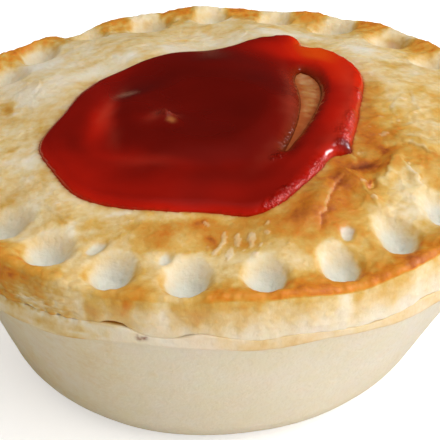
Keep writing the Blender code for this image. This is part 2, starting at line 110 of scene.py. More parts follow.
# Dimples that differ from the rest, as number: (ring radius, half width, reach in, depth).
ODD_DIMPLES = {
    22: (0.0482, 0.0052, 0.0064, 0.0030),
    23: (0.0486, 0.0049, 0.0048, 0.0030),
    24: (0.0491, 0.0048, 0.0044, 0.0030),
    0: (0.0490, 0.0046, 0.0052, 0.0031),
    1: (0.0491, 0.0043, 0.0042, 0.0029),
    2: (0.0488, 0.0042, 0.0044, 0.0028),
    3: (0.0476, 0.0043, 0.0068, 0.0030),
    4: (0.0480, 0.0050, 0.0070, 0.0031),
    17: (0.0476, 0.0066, 0.0072, 0.0030),
}

# Small dents inside the dimples' ring, each as (degrees, radius, direction in degrees, half
# length, half width, depth).
DENTS = (
    (-115, 0.0452, 40, 0.0028, 0.0016, 0.0006),
    (-101, 0.0453, 60, 0.0020, 0.0016, 0.0006),
    (-64, 0.0434, 80, 0.0025, 0.0016, 0.0007),
)
DENT_FLAT = 0.2
DOME_WOBBLE = 0.00035
DOME_WOBBLE_LENGTH = 0.024

# Folds in the lid's skin, each as (degrees, radius, direction in degrees, length, height).
FOLDS = (
    (-51, 0.0351, 116, 0.0140, 0.0009),
    (-38, 0.0349, 68, 0.0090, 0.0008),
    (-64, 0.0351, 70, 0.0140, 0.0007),
    (-34, 0.0374, -61, 0.0090, 0.0006),
    (-22, 0.0355, 145, 0.0090, 0.0005),
)
FOLD_HALF_WIDTH = 0.0017
FOLD_BEND = 6.0

# The sauce, a thick pool with a thinner skirt, and a bare crescent of crust inside it.
SAUCE_MIDDLE = (-0.0010, -0.0020)
SAUCE_EDGE = (
    (-164, 0.0310), (-146, 0.0322), (-131, 0.0340), (-117, 0.0336), (-104, 0.0329),
    (-91, 0.0321), (-79, 0.0337), (-72, 0.0327), (-66, 0.0310), (-60, 0.0292),
    (-54, 0.0277), (-48, 0.0266), (-43, 0.0257), (-38, 0.0256), (-35, 0.0267), (-32, 0.0271),
    (-28, 0.0263), (-21, 0.0256), (-10, 0.0254), (2, 0.0259), (14, 0.0278), (28, 0.0312),
    (43, 0.0332), (51, 0.0334), (54, 0.0327), (57, 0.0326), (60, 0.0345), (64, 0.0357),
    (68, 0.0356), (75, 0.0334), (84, 0.0294), (100, 0.0257), (124, 0.0254),
    (142, 0.0264), (160, 0.0256), (178, 0.0264),
)
SKIRT_THICKNESS = 0.0013
SKIRT_ROUND = 0.0021
POOL_THICKNESS = 0.0028
POOL_MIDDLE = (-0.0033, -0.0045)
POOL_HALF_WIDTH = 0.0182
POOL_FRONT_REACH = 0.0202
POOL_BACK_REACH = 0.0285
POOL_FRONT_SHOULDER = 0.38
POOL_BACK_SHOULDER = 0.90
LOOP_THICKNESS = 0.0021
BUMP_PLACE = (-0.0086, -0.0096)
BUMP_HEIGHT = 0.0010
BUMP_RADIUS = 0.0022
CRESCENT_FRONT_Y = -0.0178
CRESCENT_BACK_Y = 0.0155
CRESCENT_MIDDLE_X = 0.0164
CRESCENT_WIDEST_Y = 0.0060
CRESCENT_BEND = 10.2
CRESCENT_HALF_WIDTH = 0.0027
CRESCENT_TAPER = 0.95
CRESCENT_BLUNTNESS = 12

# How finely the surfaces are divided.
SIDES = 1080
FINE_STEP = 0.00030
COARSE_STEP = 0.00046
SAUCE_SPACING = 0.00040
SAUCE_REACH = 0.040


def blend(low, high, value):
    """Rise smoothly from 0 at low to 1 at high."""
    part = np.clip((value - low) / (high - low), 0.0, 1.0)
    return part * part * (3.0 - 2.0 * part)


def waves(x, y, length, seed, count=12):
    """A smooth uneven field of about unit height, whose bumps are length apart."""
    draw = np.random.default_rng(seed)
    heading = draw.uniform(0.0, 2.0 * math.pi, count)
    start = draw.uniform(0.0, 2.0 * math.pi, count)
    pitch = 2.0 * math.pi / (length * draw.uniform(0.75, 1.4, count))
    total = np.zeros_like(x)
    for angle, phase, rate in zip(heading, start, pitch):
        total += np.cos((x * math.cos(angle) + y * math.sin(angle)) * rate + phase)
    return total * math.sqrt(2.0 / count)


def grain(points, size, seed):
    """Gradient noise in space, mostly within 1 of zero, whose bumps are about size across."""
    draw = np.random.default_rng(seed)
    order = draw.permutation(256)
    slopes = draw.normal(size=(256, 3))
    slopes /= np.linalg.norm(slopes, axis=1)[:, None]
    place = points / size
    cell = np.floor(place).astype(int)
    part = place - cell
    fade = part ** 3 * (part * (part * 6.0 - 15.0) + 10.0)
    total = np.zeros(len(points))
    for corner in itertools.product((0, 1), repeat=3):
        index = order[(cell[:, 0] + corner[0]) & 255]
        index = order[(index + cell[:, 1] + corner[1]) & 255]
        index = order[(index + cell[:, 2] + corner[2]) & 255]
        share = np.prod(np.where(np.array(corner) == 1, fade, 1.0 - fade), axis=1)
        total += share * np.sum(slopes[index] * (part - np.array(corner)), axis=1)
    return 2.0 * total


def creases(points, size, seed):
    """Noise made of thin raised lines on flat ground, from 0 to 1."""
    return np.clip(1.0 - 3.0 * np.abs(grain(points, size, seed)), 0.0, 1.0) ** 2


def round_curve(knots, angle):
    """A closed smooth curve through (degrees, value) knots, read at angle in radians."""
    places = np.radians([knot[0] for knot in knots])
    values = np.array([knot[1] for knot in knots])
    count = len(knots)
    turn = np.mod(angle - places[0], 2.0 * math.pi)
    gaps = np.mod(np.roll(places, -1) - places, 2.0 * math.pi)
    starts = np.mod(places - places[0], 2.0 * math.pi)
    index = np.clip(np.searchsorted(starts, turn, side="right") - 1, 0, count - 1)
    slopes = (np.roll(values, -1) - np.roll(values, 1)) / (gaps + np.roll(gaps, 1))
    after = (index + 1) % count
    gap = gaps[index]
    part = (turn - starts[index]) / gap
    rise = values[after] - values[index]
    first = slopes[index] * gap
    last = slopes[after] * gap
    return (values[index] + part * first + part ** 2 * (3 * rise - 2 * first - last)
            + part ** 3 * (first + last - 2 * rise))


def dimple_cycle(angle):
    """+1 on the ridges between the dimples and -1 at the dimples."""
    turn = angle - FIRST_DIMPLE
    return -np.cos(DIMPLES * (turn + DIMPLE_CROWDING * np.sin(turn)))


def crest_height(angle):
    """Height of the lid's rim, which dips a little beside each dimple."""
    return RIM_CREST_Z + CREST_SWING * dimple_cycle(angle) + round_curve(CREST_KNOTS, angle)


def rim_radius(angle):
    """Outer radius of the lid's side."""
    return RIM_RADIUS + RIM_SCALLOP * dimple_cycle(angle) + RIM_SWELL * np.cos(6 * angle + 0.8)


def lip_radius(angle):
    """Outer radius of the case's lip."""
    swell = np.cos(4 * angle) - 1.0 + np.cos(8 * angle + 2.0)
    return LIP_RADIUS + LIP_SWELL * swell


def underside_height(angle):
    """Height of the lip's lower edge."""
    return LIP_UNDERSIDE_Z + round_curve(UNDERSIDE_KNOTS, angle)


def joint_height(radius, angle):
    """The face where lid and case meet: wavy at the rim and level inside."""
    level = LIP_UNDERSIDE_Z + LIP_THICKNESS
    seam = LIP_UNDERSIDE_Z + round_curve(SEAM_KNOTS, angle)
    return level + (seam - level) * blend(LEVEL_JOINT_RADIUS, WAVY_JOINT_RADIUS, radius)


def all_dimples():
    """Each dimple's angle, ring radius, half width, reach in, depth and slant."""
    draw = np.random.default_rng(DIMPLE_SEED)
    rows = []
    for number in range(DIMPLES):
        turn = 2.0 * math.pi * number / DIMPLES
        angle = FIRST_DIMPLE + turn - DIMPLE_CROWDING * math.sin(turn)
        ring = DIMPLE_RING_RADIUS + draw.normal(0.0, RING_SPREAD)
        size = draw.uniform(*DIMPLE_SIZES)
        slant = draw.normal(*DIMPLE_SLANT)
        shape = (ring, DIMPLE_HALF_WIDTH * size, DIMPLE_REACH_IN * size, DIMPLE_DEPTH * size)
        rows.append((angle, *ODD_DIMPLES.get(number, shape), slant))
    return rows


def dimple_depth(radius, angle):
    """Depth of the thumbed dimples, steep on the rim's side and long on the dome's."""
    total = np.zeros_like(radius)
    for middle, ring, half_width, reach_in, depth, slant in all_dimples():
        turn = np.mod(angle - middle + math.pi, 2.0 * math.pi) - math.pi
        out = radius - ring
        side = turn * ring + slant * out
        reach = np.where(out > 0.0, DIMPLE_REACH_OUT, reach_in)
        away = np.sqrt((side / half_width) ** 2 + (out / reach) ** 2)
        total += depth * (1.0 - blend(DIMPLE_FLAT, 1.0, away))
    return total


def along_axis(x, y, middle_x, middle_y, degrees):
    """Each point's place along and across an axis through a middle point."""
    heading = math.radians(degrees)
    dx = x - middle_x
    dy = y - middle_y
    return (dx * math.cos(heading) + dy * math.sin(heading),
            dy * math.cos(heading) - dx * math.sin(heading))


def polar_place(degrees, radius):
    """The x and y of a place given by its angle and radius."""
    return radius * math.cos(math.radians(degrees)), radius * math.sin(math.radians(degrees))


def dent_depth(x, y):
    """Depth of the small dents between the dimples and the dome."""
    total = np.zeros_like(x)
    for degrees, radius, heading, half_length, half_width, depth in DENTS:
        run, side = along_axis(x, y, *polar_place(degrees, radius), heading)
        away = np.hypot(run / half_length, side / half_width)
        total += depth * (1.0 - blend(DENT_FLAT, 1.0, away))
    return total


def fold_height(x, y):
    """Low folds that stand up where the lid's skin has wrinkled."""
    height = np.zeros_like(x)
    for degrees, radius, heading, length, rise in FOLDS:
        run, side = along_axis(x, y, *polar_place(degrees, radius), heading)
        across = np.exp(-((side - FOLD_BEND * run * run) / FOLD_HALF_WIDTH) ** 2)
        height += rise * across * np.exp(-(2.0 * run / length) ** 4)
    return height


def lid_height(x, y):
    """Top of the lid inside its rounded rim."""
    radius = np.hypot(x, y)
    angle = np.arctan2(y, x)
    crest = crest_height(angle)
    saddle = RIM_CREST_Z - DOME_SADDLE_DROP
    dome = RIM_CREST_Z + DOME_RISE
    dome = dome - (dome - saddle) * (radius / DOME_SADDLE_RADIUS) ** DOME_POWER
    dome = dome + DOME_WOBBLE * waves(x, y, DOME_WOBBLE_LENGTH, seed=11)
    dome = dome + fold_height(x, y)
    share = blend(RIM_INNER_RADIUS, RIM_RADIUS - RIM_ROUND, radius)
    return dome + (crest - dome) * share - dimple_depth(radius, angle) - dent_depth(x, y)


def crescent_middle(y):
    """Middle of the bare crescent, which bends round the pool's right side."""
    return CRESCENT_MIDDLE_X - CRESCENT_BEND * (y - CRESCENT_WIDEST_Y) ** 2


def crescent_half_width(y):
    """Half width of the bare crescent: pointed at the front and blunt at the back."""
    run = np.clip((y - CRESCENT_FRONT_Y) / (CRESCENT_BACK_Y - CRESCENT_FRONT_Y), 0.0, 1.0)
    return CRESCENT_HALF_WIDTH * run ** CRESCENT_TAPER * (1.0 - run ** CRESCENT_BLUNTNESS)


def crescent_outline(count):
    """Points round the crescent, clockwise seen from above."""
    half = count // 2
    step = 0.5 - 0.5 * np.cos(np.linspace(0.0, math.pi, half + 1))
    y = CRESCENT_FRONT_Y + (CRESCENT_BACK_Y - CRESCENT_FRONT_Y) * step
    middle = crescent_middle(y)
    width = crescent_half_width(y)
    left = list(zip(middle - width, y))
    right = list(zip(middle + width, y))[-2:0:-1]
    return np.array(left + right)


def sauce_outline(count):
    """Points round the sauce, anticlockwise seen from above."""
    angle = np.linspace(-math.pi, math.pi, count, endpoint=False)
    radius = round_curve(SAUCE_EDGE, angle)
    return np.stack([SAUCE_MIDDLE[0] + radius * np.cos(angle),
                     SAUCE_MIDDLE[1] + radius * np.sin(angle)], axis=1)


def from_segment(x, y, start, end):
    """How far along a segment each point's nearest place lies, and its offset from there."""
    step = end - start
    part = ((x - start[0]) * step[0] + (y - start[1]) * step[1]) / (step @ step)
    part = np.clip(part, 0.0, 1.0)
    return part, x - start[0] - part * step[0], y - start[1] - part * step[1]


def distance_to(outline, x, y):
    """Distance from each point to a closed outline."""
    nearest = np.full(x.shape, np.inf)
    for start, end in zip(outline, np.roll(outline, -1, axis=0)):
        _, dx, dy = from_segment(x, y, start, end)
        nearest = np.minimum(nearest, np.hypot(dx, dy))
    return nearest


def inside(outline, x, y):
    """Whether each point lies inside a closed outline."""
    crossings = np.zeros(x.shape, dtype=int)
    for start, end in zip(outline, np.roll(outline, -1, axis=0)):
        if start[1] == end[1]:
            continue
        spans = (start[1] > y) != (end[1] > y)
        cross_x = start[0] + (y - start[1]) * (end[0] - start[0]) / (end[1] - start[1])
        crossings += spans & (x < cross_x)
    return crossings % 2 == 1


def pool_share(x, y):
    """How far out in the pool each point lies, from 0 in its middle to 1 at its edge."""
    out = y - POOL_MIDDLE[1]
    reach = np.where(out > 0.0, POOL_BACK_REACH, POOL_FRONT_REACH)
    return np.hypot((x - POOL_MIDDLE[0]) / POOL_HALF_WIDTH, out / reach)


def sauce_thickness(x, y, edge_distance):
    """Thickness of the sauce: a rounded skirt, the pool in it and the loop at the right."""
    beside = x - crescent_middle(y)
    right = blend(0.0, 0.004, beside) * blend(-0.030, -0.016, y)
    loop = (LOOP_THICKNESS - SKIRT_THICKNESS) * right
    shoulder = POOL_BACK_SHOULDER - POOL_FRONT_SHOULDER
    shoulder = POOL_FRONT_SHOULDER + shoulder * blend(-0.004, 0.012, y)
    pool = 1.0 - blend(1.0 - shoulder, 1.0, pool_share(x, y))
    bump = np.exp(-((x - BUMP_PLACE[0]) ** 2 + (y - BUMP_PLACE[1]) ** 2) / BUMP_RADIUS ** 2)
    full = SKIRT_THICKNESS + loop + (POOL_THICKNESS - SKIRT_THICKNESS) * pool
    full = full + BUMP_HEIGHT * bump
    short = 1.0 - np.clip(edge_distance / SKIRT_ROUND, 0.0, 1.0)
    return full * np.sqrt(1.0 - short ** 2)


def linear(red, green, blue):
    """A colour given as it looks on a screen, 0 to 255, turned into light."""
    parts = [value / 255.0 for value in (red, green, blue)]
    return tuple(p / 12.92 if p <= 0.04045 else ((p + 0.055) / 1.055) ** 2.4 for p in parts)


def ring_faces(first, first_count, second, second_count):
    """Faces between two rings, given by their first vertex and count. The counts are equal or
    one is twice the other. The second lies after the first on a path up the outside and
    inwards over the top, so the faces point out."""
    if first_count < second_count:
        turned = ring_faces(second, second_count, first, first_count)
        return [face[::-1] for face in turned]
    here = second + np.arange(second_count)
    after = np.roll(here, -1)
    if first_count == second_count:
        low = first + np.arange(first_count)
        rows = ((low, np.roll(low, -1), after, here),)
    else:
        left = first + 2 * np.arange(second_count)
        middle = left + 1
        rows = ((left, middle, here), (middle, after, here),
                (middle, np.roll(left, -1), after))
    return [face for row in rows for face in np.stack(row, 1).tolist()]


class Skin:
    """A closed surface of rings. Each ring keeps its points and a value for each mark."""

    def __init__(self, *mark_names):
        self.points = []
        self.marks = {name: [] for name in mark_names}
        self.counts = []

    def ring(self, count, radius, height, shift_x=0.0, **marks):
        """Adds a ring. Radius is a number or a function of the angle. Height and the marks are
        numbers or functions of x and y, and a mark that isn't given is 0."""
        angle = np.linspace(-math.pi, math.pi, count, endpoint=False)
        radii = radius(angle) if callable(radius) else radius
        x = radii * np.cos(angle)
        y = radii * np.sin(angle)

        def around(value):
            return value(x, y) if callable(value) else np.full(count, float(value))

        self.points.append(np.stack([x + shift_x, y, around(height)], axis=1))
        for name, rows in self.marks.items():
            rows.append(around(marks.get(name, 0.0)))
        self.counts.append(count)

    def mesh(self, name):
        """The mesh, its points, and each mark as an array over them. The two ends get a cap."""
        starts = np.cumsum([0] + self.counts)
        faces = []
        for i, (first, second) in enumerate(zip(self.counts, self.counts[1:])):
            faces += ring_faces(starts[i], first, starts[i + 1], second)
        low_tip = starts[-1]
        here = np.arange(self.counts[0])
        faces += np.stack([np.roll(here, -1), here, np.full_like(here, low_tip)], 1).tolist()
        here = np.arange(starts[-2], low_tip)
        faces += np.stack([here, np.roll(here, -1), np.full_like(here, low_tip + 1)], 1).tolist()
        tips = [[ring.mean(axis=0)] for ring in (self.points[0], self.points[-1])]
        points = np.concatenate(self.points + tips)
        marks = {key: np.concatenate(rows + [[rows[0].mean(), rows[-1].mean()]])
                 for key, rows in self.marks.items()}
        made = bpy.data.meshes.new(name)
        made.from_pydata(points.tolist(), [], faces)
        made.update()
        return made, points, marks


def normals_of(mesh):
    """The mesh's vertex normals as an array."""
    flat = np.zeros(3 * len(mesh.vertices), dtype=np.float32)
    mesh.vertex_normals.foreach_get("vector", flat)
    return flat.reshape(-1, 3).astype(float)


def finish_piece(name, mesh, points, fields, finish, node):
    """Sets the final points and fields and makes the piece that stands for a node."""
    mesh.vertices.foreach_set("co", points.astype(np.float32).ravel())
    mesh.update()
    for key, values in fields.items():
        layer = mesh.attributes.new(key, "FLOAT", "POINT")
        layer.data.foreach_set("value", np.clip(values, 0.0, 1.0).astype(np.float32))
    mesh.materials.append(finish)
    mesh.shade_smooth()
    piece = bpy.data.objects.new(name, mesh)
    bpy.context.scene.collection.objects.link(piece)
    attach(piece, "root")
    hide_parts(node)
    return piece


# The seam between lid and case. The two overlap by a hair, except in one slit at the front
# left. The radius of the seam's rounded edges is given as (degrees, metres).
SEAM_OVERLAP = 0.00002
SEAM_ROUNDS = (
    (-150, 0.00026), (-128, 0.00026), (-119, 0.00020), (-110, 0.00014), (-101, 0.00014),
    (-96, 0.00022), (-92, 0.00022), (-88, 0.00010), (-74, 0.00008), (-68, 0.00014),
    (-60, 0.00010), (-54, 0.00016), (-20, 0.00012), (60, 0.00018), (140, 0.00022),
)
SEAM_SWING = 0.4
SLIT_MIDDLE = -107.4
SLIT_HALF_WIDTH = 2.6
SLIT_HEIGHT = 0.0007
SLIT_SKEW = 0.45
SLIT_INNER_RADIUS = 0.0536

# Holes in the lip just under the seam, each as (degrees, metres under the seam, radius, depth).
SEAM_HOLES = (
    (-103.2, 0.0009, 0.00026, 0.0002), (-102.4, 0.0005, 0.00026, 0.0002),
    (-103.4, 0.0003, 0.00014, 0.0001), (-102.0, 0.0002, 0.00014, 0.0001),
    (-116.2, 0.0018, 0.00018, 0.0002),
)


def slit_opening(radius, angle):
    """How far the lid lifts off the lip in the slit."""
    away = (np.degrees(angle) - SLIT_MIDDLE) / SLIT_HALF_WIDTH
    arch = np.clip(1.0 - away * away, 0.0, 1.0) * (1.0 + SLIT_SKEW * away)
    return SLIT_HEIGHT * arch * blend(SLIT_INNER_RADIUS, RIM_FOOT_RADIUS - MM, radius)


def seam_round(angle):
    """Radius of the rounded edges on both sides of the seam."""
    swing = np.sin(23 * angle + 2 * np.sin(7 * angle))
    return round_curve(SEAM_ROUNDS, angle) * (1.0 + SEAM_SWING * swing)


def lid_foot(x, y):
    """The lid's lower face."""
    radius = np.hypot(x, y)
    angle = np.arctan2(y, x)
    return joint_height(radius, angle) - SEAM_OVERLAP + slit_opening(radius, angle)


def lip_top(x, y):
    """The case's upper face, under the lid."""
    return joint_height(np.hypot(x, y), np.arctan2(y, x)) + SEAM_OVERLAP


# How brown the crust is, from 0 for raw dough to 1 for dark brown, each as (degrees, share):
# along the crest of the rim, and on the lid's side below it.
CREST_BROWN = (
    (-150, 0.66), (-136, 0.68), (-129, 0.70), (-124, 0.64), (-119, 0.58), (-115, 0.42),
    (-111, 0.46), (-108, 0.55), (-103, 0.66), (-99, 0.42), (-95, 0.48), (-91, 0.76),
    (-88, 0.70), (-85, 0.72), (-81, 0.74), (-78, 0.80), (-74, 0.84), (-71, 0.74),
    (-68, 0.72), (-65, 0.84), (-62, 0.76), (-58, 0.88), (-55, 0.80), (-51, 0.78),
    (-30, 0.62), (0, 0.66), (30, 0.76), (45, 0.70), (55, 0.80), (69, 0.76), (82, 0.80),
    (94, 0.76), (106, 0.82), (117, 0.66), (130, 0.72), (145, 0.74), (160, 0.70),
)
SIDE_BROWN = (
    (-150, 0.72), (-129, 0.74), (-125, 0.70), (-120, 0.60), (-114, 0.42), (-109, 0.54),
    (-103, 0.52), (-99, 0.42), (-93, 0.54), (-88, 0.49), (-83, 0.48), (-78, 0.46),
    (-73, 0.42), (-68, 0.40), (-62, 0.43), (-56, 0.39), (-50, 0.38), (-20, 0.40), (20, 0.48),
    (60, 0.62), (100, 0.58), (150, 0.72),
)
SIDE_FOOT_BROWN = (
    (-150, 0.60), (-129, 0.62), (-125, 0.54), (-120, 0.44), (-114, 0.46), (-109, 0.40),
    (-103, 0.24), (-99, 0.14), (-93, 0.20), (-83, 0.17), (-78, 0.12), (-73, 0.07),
    (-56, 0.08), (-20, 0.16), (20, 0.22), (60, 0.30), (100, 0.30), (150, 0.50),
)
LIP_BROWN = (
    (-150, 0.44), (-129, 0.38), (-120, 0.37), (-113, 0.33), (-108, 0.25), (-102, 0.15),
    (-96, 0.15), (-90, 0.26), (-84, 0.36), (-77, 0.36), (-72, 0.28), (-64, 0.33),
    (-50, 0.32), (0, 0.34), (90, 0.44), (150, 0.56),
)

# Marks on the lid's side, each as (degrees, mm below the crest, half width and half height in
# mm, change of tone).
SIDE_MARKS = (
    (-123.4, 5.0, 0.9, 1.2, -0.16), (-121.0, 5.2, 1.4, 0.8, -0.18), (-119.6, 4.8, 0.9, 1.0, -0.18),
    (-117.6, 2.8, 1.2, 1.6, -0.10), (-112.6, 3.0, 0.6, 2.0, -0.14), (-110.6, 2.8, 2.0, 1.2, 0.08),
    (-104.9, 2.2, 0.7, 1.6, 0.14), (-103.0, 1.6, 2.4, 0.9, 0.10), (-99.0, 3.6, 0.8, 1.8, -0.16),
    (-93.6, 3.4, 0.9, 2.0, 0.16), (-88.0, 1.8, 2.4, 0.8, 0.06), (-79.6, 3.0, 2.0, 1.6, 0.08),
    (-75.0, 3.6, 0.8, 2.4, -0.10), (-70.9, 3.0, 1.0, 3.2, -0.22), (-68.6, 2.0, 1.0, 1.4, 0.12),
    (-66.0, 2.6, 0.8, 1.2, 0.08), (-60.5, 2.2, 2.0, 1.0, 0.06), (-125.6, 1.8, 2.0, 0.8, 0.10),
)

# Browner and paler patches on the dome, in mm: (x, y, half length, half width, degrees, amount).
PATCHES = (
    (-8.7, -39.0, 3.6, 2.2, 10, 0.22), (-1.5, -40.4, 0.9, 1.3, 0, 0.34),
    (-3.2, -36.6, 1.0, 1.0, 0, 0.20), (1.0, -36.8, 9.0, 1.6, 3, 0.18),
    (13.6, -31.6, 2.8, 5.0, -20, 0.24), (19.4, -31.0, 2.4, 6.4, -20, 0.26),
    (21.2, -29.0, 0.8, 5.0, 28, -0.08), (18.6, -24.0, 1.8, 3.0, -20, 0.32),
    (23.6, -20.6, 4.2, 1.7, -10, 0.34), (25.2, -11.6, 2.6, 5.6, -6, 0.28),
    (27.8, -15.6, 1.1, 2.0, 20, 0.30), (29.8, -9.4, 0.9, 3.4, -28, 0.20),
    (26.6, -1.0, 1.4, 5.0, 0, 0.16), (28.2, 8.0, 1.6, 4.0, 10, 0.12),
    (24.0, -26.3, 0.7, 2.0, -10, 0.34), (33.4, -18.6, 3.0, 3.6, 30, 0.10),
    (34.0, -8.0, 4.0, 8.0, 10, -0.10), (30.0, -27.0, 3.4, 4.0, 30, -0.14),
    (30.4, -33.0, 4.0, 2.4, 30, -0.24), (29.8, -23.4, 1.4, 2.0, 0, -0.12),
    (-37.8, 5.6, 1.4, 2.2, 10, 0.30), (-37.4, 0.4, 2.0, 1.2, 0, 0.10),
    (-35.3, -11.0, 1.6, 1.0, 20, 0.16), (-34.7, -26.0, 2.0, 2.2, 0, 0.14),
    (-25.2, -33.4, 3.0, 1.6, -30, 0.12), (-31.8, -15.6, 1.8, 3.0, -20, -0.20),
    (-30.5, -29.6, 1.4, 2.2, -40, -0.18), (-23.6, -28.4, 3.2, 1.8, -35, -0.14),
    (-15.8, -33.6, 1.8, 0.8, 0, -0.22), (-23.4, -36.6, 0.9, 2.6, -40, -0.20),
    (-34.4, 8.4, 3.6, 3.0, 30, -0.20), (-29.0, 14.0, 4.0, 3.0, 40, -0.14),
    (-22.6, 18.8, 4.0, 2.4, 30, -0.20), (-17.4, 24.0, 1.8, 1.6, 20, -0.30),
    (-24.0, 22.4, 4.6, 1.6, 30, 0.12), (-8.0, 27.0, 6.0, 3.4, 10, -0.22),
    (2.0, 33.0, 9.0, 3.0, 0, -0.16), (14.0, 35.0, 6.0, 2.6, -10, -0.20),
    (28.0, 27.0, 4.6, 2.6, -30, -0.24), (31.0, 20.0, 3.4, 2.2, 0, 0.06),
    (-29.3, -23.0, 2.0, 2.6, -30, 0.04), (12.2, -37.0, 3.4, 3.0, 10, 0.26),
    (3.4, -40.4, 5.0, 2.6, 0, 0.18), (20.6, -27.4, 1.6, 3.6, -16, 0.06),
    (-34.6, 25.3, 3.6, 2.6, 50, -0.30), (37.6, 35.2, 2.6, 2.4, -45, 0.34),
)

# Blisters on the skin, in mm: (x, y, degrees, half length, half width, height).
BLISTERS = (
    (0.2, -40.2, 80, 1.9, 0.55, 0.22), (-0.8, -42.8, 62, 1.5, 0.5, 0.20),
    (2.3, -40.6, 90, 1.9, 0.5, 0.20), (1.0, -43.8, 76, 1.9, 0.55, 0.18),
    (4.4, -41.0, 88, 2.0, 0.6, 0.20), (4.8, -44.4, 10, 0.7, 0.5, 0.18),
    (6.9, -39.7, 20, 0.6, 0.5, 0.16), (7.1, -37.5, 40, 0.6, 0.4, 0.14),
    (5.6, -42.4, 30, 0.5, 0.35, 0.14), (3.2, -43.4, 0, 0.4, 0.3, 0.12),
    (-2.4, -36.6, 120, 0.6, 0.35, 0.14), (-2.2, -42.0, 0, 0.35, 0.3, 0.10),
    (28.1, -4.2, 0, 0.5, 0.35, 0.14), (27.9, -10.7, 60, 0.9, 0.6, 0.22),
    (25.7, -7.8, 0, 0.35, 0.3, 0.12), (33.0, 3.3, 0, 0.8, 0.7, 0.16),
    (34.4, -1.7, 0, 0.5, 0.5, 0.12), (31.0, -5.3, 80, 0.8, 0.35, 0.12),
    (22.8, -25.9, 60, 0.8, 0.5, 0.26), (24.0, -30.6, 130, 0.8, 0.4, 0.20),
    (30.8, -21.2, 0, 0.5, 0.4, 0.16), (23.2, -16.5, 10, 0.7, 0.3, 0.16),
    (-26.0, -29.6, 10, 0.8, 0.4, 0.10), (-33.0, -4.0, 30, 0.7, 0.5, 0.10),
    (-36.4, 2.8, 10, 0.9, 0.5, 0.12), (-9.4, -36.0, 0, 0.4, 0.3, 0.10),
    (-14.0, -35.6, 0, 0.35, 0.3, 0.10), (10.0, -42.6, 20, 0.4, 0.3, 0.10),
)

# Cracks and lifted flakes, as corners in mm, the crack's depth and the flake's lift on its
# left side, seen along the corners.
CRACKS = (
    (((20.1, -23.8), (19.1, -25.5), (18.3, -27.5), (17.3, -30.0), (16.7, -32.1), (16.4, -34.2),
      (15.5, -35.6), (15.1, -37.4), (14.4, -39.8)), 0.40, -0.26),
    (((19.1, -21.5), (20.4, -23.1), (21.7, -25.1), (22.4, -27.2), (23.2, -29.9),
      (24.0, -31.8), (25.0, -33.8)), 0.10, 0.22),
    (((20.2, -21.2), (21.7, -21.4), (23.2, -20.3), (25.0, -18.8), (26.6, -17.8),
      (27.6, -16.4), (28.5, -12.7), (29.9, -9.4), (31.8, -7.0)), 0.10, 0.06),
    (((26.2, -24.8), (27.2, -22.0), (28.0, -19.8), (28.8, -18.3)), 0.16, -0.34),
    (((28.8, -18.3), (29.6, -19.8), (30.8, -21.7), (32.0, -24.4), (32.6, -27.0)), 0.08, -0.34),
    (((24.8, -24.2), (24.3, -26.2), (23.3, -28.2)), 0.75, -0.20),
    (((30.6, -13.4), (32.1, -14.8), (33.4, -15.4), (34.6, -17.0), (37.4, -18.0)), 0.12, 0.30),
    (((20.0, -17.4), (21.5, -17.0), (22.7, -18.3), (22.1, -20.6)), 0.16, -0.34),
    (((31.5, 4.0), (30.2, -0.4), (31.0, -4.4)), 0.14, 0.20),
    (((35.0, 8.0), (34.2, 2.4), (36.0, -3.0)), 0.10, 0.18),
    (((-30.6, -27.4), (-28.0, -29.6), (-24.4, -34.2), (-20.0, -36.4)), 0.10, 0.14),
    (((-33.0, -18.0), (-30.2, -22.0), (-27.6, -24.6)), 0.10, 0.12),
    (((-34.0, 8.0), (-32.4, 12.0), (-33.6, 16.4)), 0.12, 0.15),
    (((-12.0, 33.0), (-6.0, 35.0), (1.0, 33.6)), 0.12, 0.14),
    (((6.0, 37.0), (12.0, 38.4), (17.0, 36.0)), 0.12, -0.14),
)
CRACK_HALF_WIDTH = 0.00034
CRACK_SHARE = 0.7
CRACK_STAIN = 0.0012
FLAKE_REACH = 0.0026
FLAKE_EDGE = 0.00032
STREAK_FALL = 0.8

